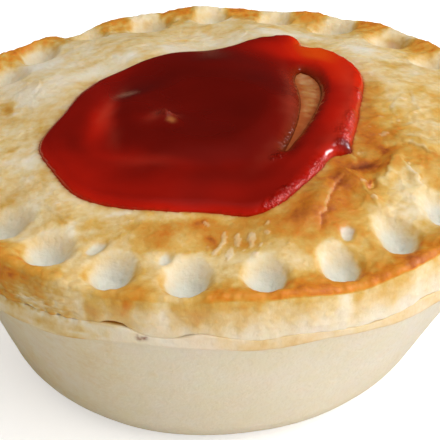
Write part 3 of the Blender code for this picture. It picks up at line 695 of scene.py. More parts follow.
# Noise in the surfaces' heights, in mm, and in their tones, by name. Each is a sum of rows of
# (amount, size of the bumps in mm, seed).
NOISE = {
    "skin": ((0.10, 5.0, 21), (0.06, 2.1, 22), (0.035, 1.0, 23)),
    "skin_creases": ((0.07, 4.0, 24),),
    "flaky_creases": ((0.14, 4.5, 25),),
    "flaky": ((0.09, 1.4, 26),),
    "ridges": ((0.13, 1.3, 27), (0.07, 0.8, 34)),
    "side_streaks": ((0.12, 3.4, 28),),
    "side_layers": ((0.08, 1.7, 29),),
    "crumbs": ((0.26, 2.0, 30), (0.20, 1.0, 31)),
    "pits": ((1.0, 0.9, 32),),
    "blisters": ((0.4, 0.8, 39),),
    "broad_mottle": ((0.05, 9.0, 40),),
    "mottle": ((0.08, 4.0, 41), (0.06, 2.0, 42), (0.045, 1.1, 46)),
    "crest": ((0.5, 1.6, 43),),
    "pale": ((0.15, 2.0, 44),),
    "side_tone": ((0.10, 2.2, 45),),
    "crumb_tone": ((0.22, 1.0, 31),),
    "ragged": ((0.16, 2.4, 48), (0.08, 1.0, 49)),
    "dents": ((0.3, 1.4, 50),),
    "smear": ((1.0, 1.8, 56),),
    "pane": ((0.2, 1.4, 57),),
    "side_mark_along": ((0.5, 1.8, 91),),
    "side_mark_down": ((0.5, 1.8, 92),),
    "wall": ((0.12, 14.0, 51), (0.03, 3.0, 52)),
    "lip": ((0.07, 4.0, 53), (0.04, 1.5, 54)),
    "wall_tone": ((0.05, 12.0, 61), (0.02, 4.0, 62)),
    "lip_tone": ((0.07, 3.0, 63), (0.04, 1.2, 64)),
    "lip_crumbs": ((1.0, 0.9, 65),),
    "lip_layers": ((1.0, 0.9, 66),),
    "ripple": ((0.08, 6.0, 71),),
    "edge_bumps": ((0.14, 2.4, 72), (0.098, 1.2, 74)),
    "glint": ((0.10, 0.9, 85),),
    "depth": ((0.05, 7.0, 73),),
}

# How noise moves marks about: (size of its bumps in mm, shift in mm, seed).
CRACK_WARP = (1.6, 0.35, 35)
BLISTER_WARP = (1.1, 0.30, 37)
PATCH_WARP = (2.6, 0.9, 47)
SHADE_WARP = (6.0, 0.8, 75)
PAINTED_REFLECTION_WARP = (2.4, 0.5, 77)
SPOT_WARP = (1.0, 0.3, 79)
GLINT_WARP = (1.0, 0.3, 83)

# Rings on the lid's lower face and on the case's hidden upper face, each as (count, radius), and
# the lid's innermost ones, as (count, first radius, last, step).
LID_FOOT_RINGS = (
    (SIDES // 4, 0.030), (SIDES // 2, 0.042), (SIDES, 0.050), (SIDES, 0.0518),
    (SIDES, 0.0526), (SIDES, 0.0534), (SIDES, 0.0541),
)
CASE_TOP_RINGS = (
    (SIDES, 0.0541), (SIDES, 0.0534), (SIDES, 0.0526), (SIDES, 0.0518),
    (SIDES // 2, 0.050), (SIDES // 4, 0.042),
)
FINE_UNTIL = 0.030
LID_INNER_RINGS = (
    (SIDES // 2, FINE_UNTIL - FINE_STEP, 0.015, COARSE_STEP), (SIDES // 4, 0.0145, 0.0008, MM),
)
HIDDEN = 1.0  # a drop and a way in that lie far beyond those of points that show
FAR_INSIDE = 0.02  # a way in at which the crest no longer tells
LIP_CORNER = 0.0007

# The y over which the lid's back fades in, the width of the browned crest at the front, how
# deep a dent and a pit are, and the tones of pale dough and of both faces in the slit.
BACK_FADE = (0.004, 0.026)
CREST_WIDTH = 0.0030
DENT_DEPTH = 0.0006
PIT_DEPTH = 0.8
SLIT_EDGE = 0.0002
PALE_TONE = 0.26
SLIT_TONE = 0.68
SLIT_FLOOR_TONE = 0.62

# The tone of plain dome and wall, and how far each feature browns it or makes it paler.
DOME_TONE = 0.46
FLAKY_TONE = 0.05
BACK_TONE = -0.08
LEFT_TONE = -0.10
CRACK_TONE = 0.12
# Lifted flake edges are painted paler: painted highlight where light catches their raised edges.
FLAKE_EDGE_HIGHLIGHT_TONE = -0.22
BLISTER_FOOT_TONE = 0.10
# Blister tops are painted paler and pinker: painted highlight where light catches them.
BLISTER_TOP_HIGHLIGHT_TONE = -0.12
FRINGE_TONE = 0.18
FRONT_TONE = -0.08
PIT_TONE = -0.3
WALL_TONE = 0.14
# The wall is browner on the left, partly its own warmer colour and partly painted shade on the
# side away from the window light, and paler on the right.
WALL_LEFT_TONE_AND_SHADE = 0.12
WALL_RIGHT_TONE = -0.07
LAYER_TONE = 0.14
CRUMB_TONE = 0.3

# Heights of the lip's layers and crumbs, in mm, and how strongly the chalk, the stain and the
# rosy dough show.
LAYER_HEIGHT = 0.10
CRUMB_HEIGHT = 0.25
DIMPLE_CHALK = 0.92
DENT_CHALK = 0.7
HALO_STAIN = 0.50
LEFT_STAIN = 0.8
EDGE_STAIN = 0.35
CRESCENT_STAIN = 0.72
ROSY_SIDE = 0.35
# The pink on the blister tops is painted highlight; the rosy side and lip are the dough's own
# colour.
BLISTER_TOP_HIGHLIGHT_PINK = 0.6
ROSY_LIP = 0.6

# The sauce's depth of colour at the skirt, and how far the pool and the loop change it.
SKIRT_DEPTH = 0.58
POOL_DEPTH = 0.24
LOOP_DEPTH = 0.28


def noise(name, points, kind=grain):
    """The sum of the noise of that name."""
    return sum(amount * kind(points, size * MM, seed) for amount, size, seed in NOISE[name])


def stretched(points, rise):
    """The points with their height scaled, for noise that runs level or upright."""
    return points * np.array([1.0, 1.0, rise])


def warped(points, size, shift, seed):
    """The points moved about by noise, so that marks placed with them have ragged outlines."""
    moves = [grain(points, size * MM, seed + axis) for axis in range(2)]
    return points[:, 0] + shift * MM * moves[0], points[:, 1] + shift * MM * moves[1]


def side_mark_amount(points, angle, drop):
    """Sum of the marks on the lid's side."""
    total = np.zeros_like(angle)
    along = angle * RIM_RADIUS + noise("side_mark_along", points) * MM
    down = drop + noise("side_mark_down", points) * MM
    for degrees, below, half_width, half_height, change in SIDE_MARKS:
        across = (along - math.radians(degrees) * RIM_RADIUS) / (half_width * MM)
        fall = (down - below * MM) / (half_height * MM)
        total += change * np.exp(-(across ** 2 + fall ** 2) * STREAK_FALL)
    return total


def in_oval(x, y, middle_x, middle_y, degrees, half_length, half_width):
    """Each point's place in an oval given in mm, in half lengths along and half widths across."""
    run, side = along_axis(x, y, middle_x * MM, middle_y * MM, degrees)
    return run / (half_length * MM), side / (half_width * MM)


def streak_amount(rows, x, y):
    """Sum of soft oval streaks, each given in mm as (x, y, length, width, degrees, amount)."""
    total = np.zeros_like(x)
    for middle_x, middle_y, length, width, degrees, amount in rows:
        run, side = in_oval(x, y, middle_x, middle_y, degrees, length, width)
        total += amount * np.exp(-(run * run + side * side) * STREAK_FALL)
    return total


def blister_height(x, y):
    """Height of the blisters, which are low and round."""
    total = np.zeros_like(x)
    for middle_x, middle_y, degrees, length, width, height in BLISTERS:
        run, side = in_oval(x, y, middle_x, middle_y, degrees, length, width)
        total += height * MM * np.sqrt(np.clip(1.0 - run * run - side * side, 0.0, 1.0))
    return total


def crack_relief(x, y):
    """Height of the cracks and flakes, how near each point is to a crack, from 0 to 1, and
    how near to a flake's lifted edge."""
    relief = np.zeros_like(x)
    near = np.zeros_like(x)
    raised = np.zeros_like(x)
    for corners, depth, lift in CRACKS:
        path = np.array(corners) * MM
        steps = np.hypot(*(path[1:] - path[:-1]).T)
        passed = np.concatenate([[0.0], np.cumsum(steps)])
        nearest = np.full(x.shape, np.inf)
        run = np.zeros_like(x)
        side = np.ones_like(x)
        for i, (start, end) in enumerate(zip(path, path[1:])):
            part, dx, dy = from_segment(x, y, start, end)
            gap = np.hypot(dx, dy)
            closer = gap < nearest
            nearest = np.where(closer, gap, nearest)
            run = np.where(closer, (passed[i] + part * steps[i]) / passed[-1], run)
            turn = (end[0] - start[0]) * dy - (end[1] - start[1]) * dx
            side = np.where(closer, np.sign(turn), side)
        taper = np.clip(4.0 * run * (1.0 - run), 0.0, 1.0) ** 0.6
        lifted = side * np.sign(lift) > 0.0
        flake = abs(lift) * np.exp(-nearest / FLAKE_REACH) * lifted
        groove = CRACK_SHARE * depth * np.exp(-(nearest / CRACK_HALF_WIDTH) ** 2)
        relief += taper * (flake - groove) * MM
        stain = np.where(lifted, 0.4, 1.0) * np.exp(-(nearest / CRACK_STAIN) ** 2)
        near = np.maximum(near, taper * min(1.0, 2.5 * depth) * stain)
        edge = np.exp(-((nearest - 0.8 * FLAKE_EDGE) / FLAKE_EDGE) ** 2) * lifted
        # The lifted edge's mask, which lid_tone paints paler as a painted highlight.
        raised = np.maximum(raised, taper * min(1.0, 2.0 * abs(lift)) * edge)
    return relief, near, raised


def lid_skin():
    """The lid's rings, from its foot up the side and in over the top. They are marked with the
    drop below the crest, the way in from the crest, and 1 on the top."""
    skin = Skin("drop", "inner", "top")

    def side_radius(share):
        bulge = RIM_BULGE * math.sin(math.pi * share)
        return lambda angle: (RIM_FOOT_RADIUS + (rim_radius(angle) - RIM_FOOT_RADIUS) * share
                              + bulge)

    def side_low(x, y):
        return lid_foot(x, y) + seam_round(np.arctan2(y, x))

    def side_high(x, y):
        return crest_height(np.arctan2(y, x)) - RIM_ROUND

    for count, radius in LID_FOOT_RINGS:
        skin.ring(count, radius, lid_foot, drop=HIDDEN, inner=HIDDEN)
    for turn in np.radians((0.0, 30.0, 60.0)):
        skin.ring(SIDES,
                  lambda angle: RIM_FOOT_RADIUS - seam_round(angle) * (1.0 - math.sin(turn)),
                  lambda x, y: side_low(x, y) - seam_round(np.arctan2(y, x)) * math.cos(turn),
                  drop=lambda x, y: side_high(x, y) + RIM_ROUND - side_low(x, y))
    for share in np.linspace(0.0, 1.0, 24):
        skin.ring(SIDES, side_radius(share),
                  lambda x, y: side_low(x, y) + (side_high(x, y) - side_low(x, y)) * share,
                  drop=lambda x, y: RIM_ROUND + (side_high(x, y) - side_low(x, y)) * (1 - share))
    for turn in np.radians((22.0, 45.0, 68.0)):
        skin.ring(SIDES, lambda angle: rim_radius(angle) - RIM_ROUND * (1.0 - math.cos(turn)),
                  lambda x, y: side_high(x, y) + RIM_ROUND * math.sin(turn),
                  drop=RIM_ROUND * (1.0 - math.sin(turn)), top=1.0)
    for radius in np.arange(RIM_RADIUS - RIM_ROUND, FINE_UNTIL, -FINE_STEP):
        skin.ring(SIDES, radius, lid_height, inner=RIM_RADIUS - RIM_ROUND - radius, top=1.0)
    for count, start, end, step in LID_INNER_RINGS:
        for radius in np.arange(start, end, -step):
            skin.ring(count, radius, lid_height, inner=FAR_INSIDE, top=1.0)
    return skin


class LidPlaces:
    """What each point of the lid lies on, as shares from 0 to 1, and where it is."""

    def __init__(self, points, marks):
        self.points = points
        self.x, self.y = points[:, 0], points[:, 1]
        self.angle = np.arctan2(self.y, self.x)
        self.degrees = np.degrees(self.angle)
        self.radius = np.hypot(self.x, self.y)
        self.drop, self.top = marks["drop"], marks["top"]
        self.shown = (self.drop < 0.5 * HIDDEN).astype(float)
        self.side = self.shown * (1.0 - self.top)
        self.back = blend(*BACK_FADE, self.y)
        self.dimple = self.dimple_share(0.0)
        self.dent = dent_depth(self.x, self.y) / DENT_DEPTH * self.top

        inner = marks["inner"]
        width = CREST_WIDTH * (1.0 + self.back)
        self.crest = np.exp(-(inner / width) ** 2) * self.top
        self.ridge = self.crest * (1.0 - blend(0.10, 0.50, self.dimple))
        self.crest_line = np.exp(-(self.drop / MM) ** 2) * np.exp(-(inner / MM) ** 2)
        self.crest_band = (np.exp(-((self.drop - 0.2 * MM) / (0.4 * MM)) ** 2)
                           * np.exp(-(inner / (0.8 * MM)) ** 2))
        crumbly = self.side * blend(-111.0, -117.0, self.degrees)
        crumbly *= blend(-160.0, -150.0, self.degrees)
        self.crumble = crumbly * (0.35 + 0.65 * blend(0.0030, 0.0055, self.drop))
        self.flaky = blend(0.010, 0.022, self.x) * blend(0.012, -0.006, self.y) * self.top
        self.pits = np.clip(noise("pits", points) - 0.55, 0.0, 1.0)
        self.layered = stretched(points, 2.2)

        outline = sauce_outline(180)
        window = crescent_outline(80)
        self.covered = inside(outline, self.x, self.y) & (self.radius < SAUCE_REACH)
        self.sauce_gap = distance_to(outline, self.x, self.y)
        self.window_gap = distance_to(window, self.x, self.y)
        self.in_window = inside(window, self.x, self.y)
        gap = np.where(self.covered, self.sauce_gap, -self.sauce_gap)
        bare = 1.0 - blend(-0.5 * MM, 1.0 * MM, gap) * self.top
        self.bare = np.where(self.in_window, 1.0, bare)

        flat = warped(points, *BLISTER_WARP)
        self.blister = blister_height(*flat)
        self.raised = blend(0.02 * MM, 0.14 * MM, self.blister)
        self.cracks, self.near_crack, self.flake_edge_highlight = crack_relief(*warped(points, *CRACK_WARP))

    def dimple_share(self, shift):
        """How deep the dimples are at each point moved out by shift."""
        return dimple_depth(self.radius + shift, self.angle) / DIMPLE_DEPTH * self.top


def lid_relief(at):
    """How far the lid's skin stands out: grain, creases, pits, blisters and cracks."""
    relief = noise("skin", at.points)
    relief += (at.top * noise("skin_creases", at.points, creases)
               * (1.0 - 0.8 * blend(0.1, 0.5, at.dimple)))
    relief += at.flaky * (noise("flaky_creases", at.points, creases)
                          + noise("flaky", at.points))
    relief += at.ridge * noise("ridges", at.points)
    relief += at.side * noise("side_streaks", stretched(at.points, 0.35))
    relief += at.side * noise("side_layers", at.layered)
    relief += at.crumble * noise("crumbs", at.layered)
    relief -= PIT_DEPTH * at.pits * (blend(0.4, 0.8, at.dimple) + at.crumble)
    relief = relief * MM * at.shown * (0.3 + 0.7 * at.bare)
    blister = at.blister * (0.8 + noise("blisters", at.points))
    return relief + (blister + at.cracks) * at.top * at.bare


def lid_tone(at, patches):
    """How brown the lid is, and the golden fringe outside each dimple."""
    mottle = noise("mottle", at.points)
    tone = DOME_TONE + noise("broad_mottle", at.points) + mottle + FLAKY_TONE * at.flaky
    tone += BACK_TONE * blend(0.0, 0.020, at.y) + LEFT_TONE * blend(-0.012, -0.030, at.x)
    # Lifted flake edges are painted paler here: painted highlight.
    tone += patches + CRACK_TONE * at.near_crack + FLAKE_EDGE_HIGHLIGHT_TONE * at.flake_edge_highlight
    blister_foot = blend(0.0, 0.05 * MM, at.blister) * (1.0 - at.raised)
    # Blister tops are painted paler: painted highlight.
    tone += BLISTER_FOOT_TONE * blister_foot + BLISTER_TOP_HIGHLIGHT_TONE * at.raised
    uneven = 0.8 + noise("crest", at.points)
    crest_tone = round_curve(CREST_BROWN, at.angle)
    behind = at.back * blend(0.5, -0.6, dimple_cycle(at.angle))
    behind *= blend(130.0, 118.0, at.degrees)
    crest_tone = crest_tone + (PALE_TONE - crest_tone) * behind
    tone += (crest_tone - tone) * at.ridge * uneven
    pale = np.maximum(at.dimple, at.dimple_share(1.8 * MM)) + noise("pale", at.points)
    tone += (PALE_TONE - tone) * 0.8 * blend(0.0, 0.6, pale) * (1.0 - at.crest)
    fringe = np.exp(-((at.dimple - 0.16) / 0.12) ** 2) * at.top
    fringe *= blend(-0.0020, 0.0015, at.radius - DIMPLE_RING_RADIUS)
    fringe *= blend(0.010, -0.020, at.y)
    tone += FRINGE_TONE * fringe * uneven
    front = blend(-0.0425, -0.0455, at.y) * blend(0.030, 0.010, np.abs(at.x + 0.012))
    tone += FRONT_TONE * front * (1.0 - at.crest)

    fall = np.clip((at.drop - 1.0 * MM) / (6.0 * MM), 0.0, 1.0) ** 1.6
    side_tone = round_curve(SIDE_BROWN, at.angle) * (1.0 - fall)
    side_tone += round_curve(SIDE_FOOT_BROWN, at.angle) * fall
    side_tone += side_mark_amount(at.points, at.angle, at.drop) + 0.6 * mottle
    side_tone += noise("side_tone", stretched(at.points, 0.3))
    side_tone += at.crumble * (noise("crumb_tone", at.layered) + PIT_TONE * at.pits)
    tone = np.where(at.side > 0.5, side_tone, tone)
    tone += (crest_tone - tone) * at.crest_band
    opening = slit_opening(np.maximum(at.radius, RIM_FOOT_RADIUS), at.angle)
    in_slit = (opening > SLIT_EDGE) & (at.shown < 0.5)
    return np.where(in_slit, SLIT_TONE, tone), fringe


def lid_chalk(at, fringe):
    """Where the lid is pale and chalky: in the dimples and the dents."""
    chalk = DIMPLE_CHALK * blend(0.12, 0.92, at.dimple + noise("ragged", at.points))
    chalk *= (1.0 - 0.9 * at.crest_line) * (1.0 - 0.5 * fringe)
    beyond = blend(0.0, 0.0060, DIMPLE_RING_RADIUS - at.radius)
    chalk *= (1.0 - 0.5 * beyond * blend(0.030, 0.016, at.x)) * (1.0 - 0.5 * at.back)
    dented = blend(0.2, 0.9, at.dent + noise("dents", at.points))
    return np.maximum(chalk, DENT_CHALK * dented)


def lid_film(at):
    """Where sauce stains the lid: under the pool, in the crescent and round the edge."""
    smear = blend(-0.3, 0.9, noise("smear", at.points))
    halo = np.exp(-(at.sauce_gap / (2.2 * MM)) ** 2) * blend(0.004, 0.016, at.x)
    left_edge = np.exp(-(at.sauce_gap / MM) ** 2) * blend(-0.016, -0.024, at.x)
    left_edge *= blend(-0.010, -0.004, at.y)
    thin_edge = np.exp(-(at.sauce_gap / (0.5 * MM)) ** 2)
    outside = np.maximum(HALO_STAIN * halo * (0.3 + 0.7 * smear), LEFT_STAIN * left_edge * smear)
    film = np.where(at.covered, 1.0, np.maximum(outside, EDGE_STAIN * thin_edge))
    rim = np.exp(-(at.window_gap / (0.7 * MM)) ** 2)
    pane = CRESCENT_STAIN + (1.0 - CRESCENT_STAIN) * rim + noise("pane", at.points)
    return np.where(at.in_window, pane + 0.5 * blend(-0.004, -0.010, at.y), film) * at.top


def make_lid(finish):
    """The lid: its foot, its browned side, the crest, the dimples and the dome."""
    mesh, points, marks = lid_skin().mesh("lid_pastry")
    at = LidPlaces(points, marks)
    patches = streak_amount(PATCHES, *warped(points, *PATCH_WARP))
    tone, fringe = lid_tone(at, patches)
    chalk = lid_chalk(at, fringe)
    deep = np.clip(1.4 * patches + 0.3 * at.near_crack, 0.0, 0.6) * at.top
    rosy_side = ROSY_SIDE * at.side * blend(0.0008, 0.0034, at.drop) * blend(-0.034, -0.010, at.x)
    # The blister tops' pink is painted highlight; the rosy side is the dough's own colour.
    pink = np.clip(BLISTER_TOP_HIGHLIGHT_PINK * at.raised + rosy_side, 0.0, 1.0) * (1.0 - chalk)
    fields = {"tone": tone, "chalk": chalk, "film": lid_film(at), "pink": pink, "deep": deep}
    final = points + normals_of(mesh) * lid_relief(at)[:, None]
    return finish_piece("lid_pastry", mesh, final, fields, finish, "lid_crust")


def case_skin():
    """The case's rings, from the foot up the wall, round the lip and in under the lid. They
    are marked with 1 on the lip, on the foot and where the lid hides them."""
    skin = Skin("lip", "foot", "hidden")

    def shift_at(height):
        return FOOT_SHIFT_X + (WALL_TOP_SHIFT_X - FOOT_SHIFT_X) * height / LIP_UNDERSIDE_Z

    def under(rise):
        return lambda x, y: underside_height(np.arctan2(y, x)) + rise

    lean = math.atan2(WALL_TOP_RADIUS - WALL_FOOT_RADIUS, LIP_UNDERSIDE_Z)
    turn = math.pi / 2.0 - lean
    centre_radius = WALL_FOOT_RADIUS - FOOT_ROUND * math.tan(turn / 2.0)
    for radius in np.linspace(0.2, 1.0, 6) * centre_radius:
        skin.ring(SIDES // 4, radius, 0.0, FOOT_SHIFT_X, foot=1.0)
    for angle in np.linspace(0.0, turn, 24)[1:]:
        height = FOOT_ROUND * (1.0 - math.cos(angle))
        radius = centre_radius + FOOT_ROUND * math.sin(angle)
        skin.ring(SIDES // 2, radius, height, shift_at(height))
    foot_radius, foot_z = radius, height
    for share in np.linspace(0.0, 0.985, 52)[1:]:
        height = foot_z + (LIP_UNDERSIDE_Z - foot_z) * share
        skin.ring(SIDES // 2, foot_radius + (WALL_TOP_RADIUS - foot_radius) * share, height,
                  shift_at(height))
    skin.ring(SIDES // 2, WALL_TOP_RADIUS + 0.5 * MM, under(0.0), lip=0.2)
    for inward in (0.0026, 0.0018, 0.0011):
        skin.ring(SIDES, lambda angle: lip_radius(angle) - inward, under(0.0), lip=0.6)
    for turn in np.radians((0.0, 22.0, 45.0, 68.0)):
        skin.ring(SIDES, lambda angle: lip_radius(angle) - LIP_CORNER * (1.0 - math.sin(turn)),
                  under(LIP_CORNER * (1.0 - math.cos(turn))), lip=1.0)
    for share in np.linspace(0.0, 1.0, 6):
        skin.ring(SIDES, lip_radius,
                  lambda x, y: (under(LIP_CORNER)(x, y) * (1.0 - share)
                                + (lip_top(x, y) - seam_round(np.arctan2(y, x))) * share),
                  lip=1.0)
    for turn in np.radians((30.0, 60.0, 90.0)):
        skin.ring(SIDES,
                  lambda angle: lip_radius(angle) - seam_round(angle) * (1.0 - math.cos(turn)),
                  lambda x, y: lip_top(x, y) - seam_round(np.arctan2(y, x)) * (1 - math.sin(turn)),
                  lip=1.0)
    for count, radius in CASE_TOP_RINGS:
        skin.ring(count, radius, lip_top, hidden=1.0)
    return skin


def make_case(finish):
    """The case: the raised wall and the lip that the lid sits on."""
    mesh, points, marks = case_skin().mesh("case_pastry")
    x, y, z = points.T
    angle = np.arctan2(y, x)
    degrees = np.degrees(angle)
    lip = marks["lip"]
    shown = (1.0 - marks["foot"]) * (1.0 - marks["hidden"])
    wall = shown * (1.0 - blend(0.0, 0.2, lip))
    under_seam = joint_height(np.full_like(angle, RIM_FOOT_RADIUS), angle) - z

    relief = wall * noise("wall", points) + lip * noise("lip", points)
    relief = relief * MM * shown * blend(0.0, 0.004, z)
    dark = np.zeros_like(angle)
    for place, below, hole_radius, depth in SEAM_HOLES:
        across = (angle - math.radians(place)) * LIP_RADIUS
        away = np.hypot(across / 1.5, below - under_seam) / hole_radius
        relief -= depth * np.exp(-away ** 2) * lip
        dark = np.maximum(dark, np.exp(-(away / 1.1) ** 2) * lip)
    banded = np.stack([0.12 * LIP_RADIUS * angle, 1.6 * z, np.hypot(x, y)], axis=1)
    layers = noise("lip_layers", banded) * lip * blend(-100.0, -114.0, degrees)
    crumbs = blend(-109.0, -116.0, degrees) * blend(-170.0, -150.0, degrees)
    crumbs *= lip * (1.0 - blend(0.0002, 0.0012, under_seam))
    crumbs *= noise("lip_crumbs", stretched(points, 1.8))
    relief += (LAYER_HEIGHT * layers + CRUMB_HEIGHT * crumbs) * MM

    tone = WALL_TONE + noise("wall_tone", points)
    # Browner on the left: partly the wall's own warmer colour, partly painted shade.
    tone += WALL_LEFT_TONE_AND_SHADE * blend(-0.006, -0.036, x) + WALL_RIGHT_TONE * blend(0.0, 0.020, x)
    lip_tone = round_curve(LIP_BROWN, angle) + noise("lip_tone", points)
    lip_tone += LAYER_TONE * layers + CRUMB_TONE * crumbs
    tone += (lip_tone - tone) * lip
    opening = slit_opening(np.full_like(angle, RIM_FOOT_RADIUS), angle)
    tone = np.where((opening > 0.5 * SLIT_EDGE) & (marks["hidden"] > 0.5), SLIT_FLOOR_TONE, tone)
    zero = np.zeros_like(tone)
    rosy = ROSY_LIP * lip * blend(-0.018, 0.004, x)
    fields = {"tone": tone, "chalk": zero, "film": zero, "pink": rosy, "deep": zero,
              "dark": dark}
    final = points + normals_of(mesh) * relief[:, None]
    return finish_piece("case_pastry", mesh, final, fields, finish, "case_crust")


def sheet_triangles(edge_loops, inner_points):
    """Flat triangles between the outer loop and the hole, through the inner points."""
    points = []
    edges = []
    for loop in edge_loops:
        first = len(points)
        points.extend(loop)
        edges.extend((first + i, first + (i + 1) % len(loop)) for i in range(len(loop)))
    points.extend(inner_points)
    flat, _, faces, _, _, _ = delaunay_2d_cdt([tuple(p) for p in points], edges, [], 0, SAME_POINT)
    flat = np.array([tuple(p) for p in flat])
    faces = np.array([tuple(face) for face in faces])
    middles = flat[faces].mean(axis=1)
    outer, hole = edge_loops
    kept = inside(outer, *middles.T) & ~inside(hole, *middles.T)
    return flat, faces[kept]


def grid_points(outer, hole, spacing, clearance):
    """Points on a triangular grid that stay clear of both outlines."""
    rows = np.arange(-SAUCE_REACH, SAUCE_REACH, spacing * math.sqrt(3.0) / 2.0)
    points = []
    for number, y in enumerate(rows):
        x = np.arange(-SAUCE_REACH, SAUCE_REACH, spacing) + spacing / 2.0 * (number % 2)
        points.append(np.stack([x, np.full_like(x, y)], axis=1))
    points = np.concatenate(points)
    x, y = points.T
    clear = inside(outer, x, y) & ~inside(hole, x, y)
    clear &= distance_to(outer, x, y) > clearance
    clear &= distance_to(hole, x, y) > clearance
    return points[clear]


SAUCE_SIDES = 480
CRESCENT_SIDES = 160
SAUCE_SINK = 0.00012
SAUCE_UNDER = 0.0002
SAME_POINT = 1e-7
SPOT_PLACE = (-8.0, -11.0)
SPOT_RADIUS = 0.8
NUB_PLACE = (-9.2, -9.0)
NUB_RADIUS = 0.9
NUB_HEIGHT = 0.8

# Where the sauce is finely rippled and glints, in mm: (x, y, half length, half width,
# degrees, share).
GLINTS = (
    (25.2, 3.4, 1.4, 0.7, 80, 1.0), (22.6, -7.6, 2.0, 0.8, 74, 1.0),
    (21.2, -12.4, 2.0, 1.2, 66, 1.0), (19.9, -16.0, 1.2, 0.6, 60, 0.5),
    (16.2, -22.4, 2.6, 0.7, 58, 0.9), (13.6, -26.8, 1.6, 0.6, 54, 0.6),
    (10.6, -30.4, 2.0, 0.8, 50, 1.0), (8.0, -33.6, 1.6, 0.8, 52, 1.0),
    (11.6, -15.4, 3.4, 0.8, 70, 1.0), (9.3, -20.8, 1.2, 0.8, 60, 0.9),
    (-8.9, -9.0, 0.9, 0.9, 0, 1.0),
)

# Painted reflections on the sauce: pale pinkish streaks on the pool's shoulders, the loop and the
# bump, in mm: (x, y, half length, half width, degrees, share).
PAINTED_SAUCE_REFLECTIONS = (
    (-17.4, 2.4, 3.2, 0.9, 82, 0.14), (-19.3, -5.0, 4.0, 1.2, 84, 0.15),
    (-17.9, -13.0, 3.6, 1.0, 100, 0.05), (-12.0, -21.4, 4.2, 1.4, -12, 0.05),
    (-10.4, -8.4, 2.0, 1.0, 60, 0.16), (-8.0, -9.0, 1.4, 0.8, 10, 0.16),
    (12.6, 6.0, 7.0, 0.9, 92, 0.12), (12.3, -5.0, 6.0, 1.2, 86, 0.12),
    (8.6, -19.0, 5.0, 1.2, 60, 0.06), (23.4, 6.0, 7.0, 1.3, 88, 0.10),
    (21.8, -7.0, 7.0, 1.2, 76, 0.10), (18.6, -15.6, 4.0, 1.2, 60, 0.05),
)

# Depth of colour on the sauce, in mm: (x, y, half length, half width, degrees, change).
SHADES = (
    (-25.0, -19.0, 7.0, 3.0, -66, -0.12), (-18.0, -27.4, 7.0, 3.0, -28, -0.12),
    # The -0.40 streak at (-19.8, -5.0) lightens the pool's left shoulder: painted reflection,
    # along with the pale streaks there.
    (-8.0, -30.0, 6.0, 2.4, -4, -0.06), (-19.8, -5.0, 9.0, 2.2, 88, -0.40),
    (-13.0, -20.6, 6.0, 1.6, -16, -0.16), (-11.4, -9.6, 3.0, 2.0, 30, -0.20),
    (-24.0, -14.0, 5.0, 1.6, -60, 0.10), (18.0, -8.0, 12.0, 2.0, 78, 0.10),
    (13.4, -18.0, 5.0, 2.0, 50, 0.14), (19.4, 6.0, 8.0, 1.4, 92, 0.10),
    (15.0, 22.0, 6.0, 3.4, -30, -0.34), (22.6, 10.0, 6.0, 1.6, -70, -0.06),
    (4.0, -26.0, 7.0, 2.0, 10, 0.10), (21.4, -16.4, 1.6, 1.0, 0, 0.50),
)


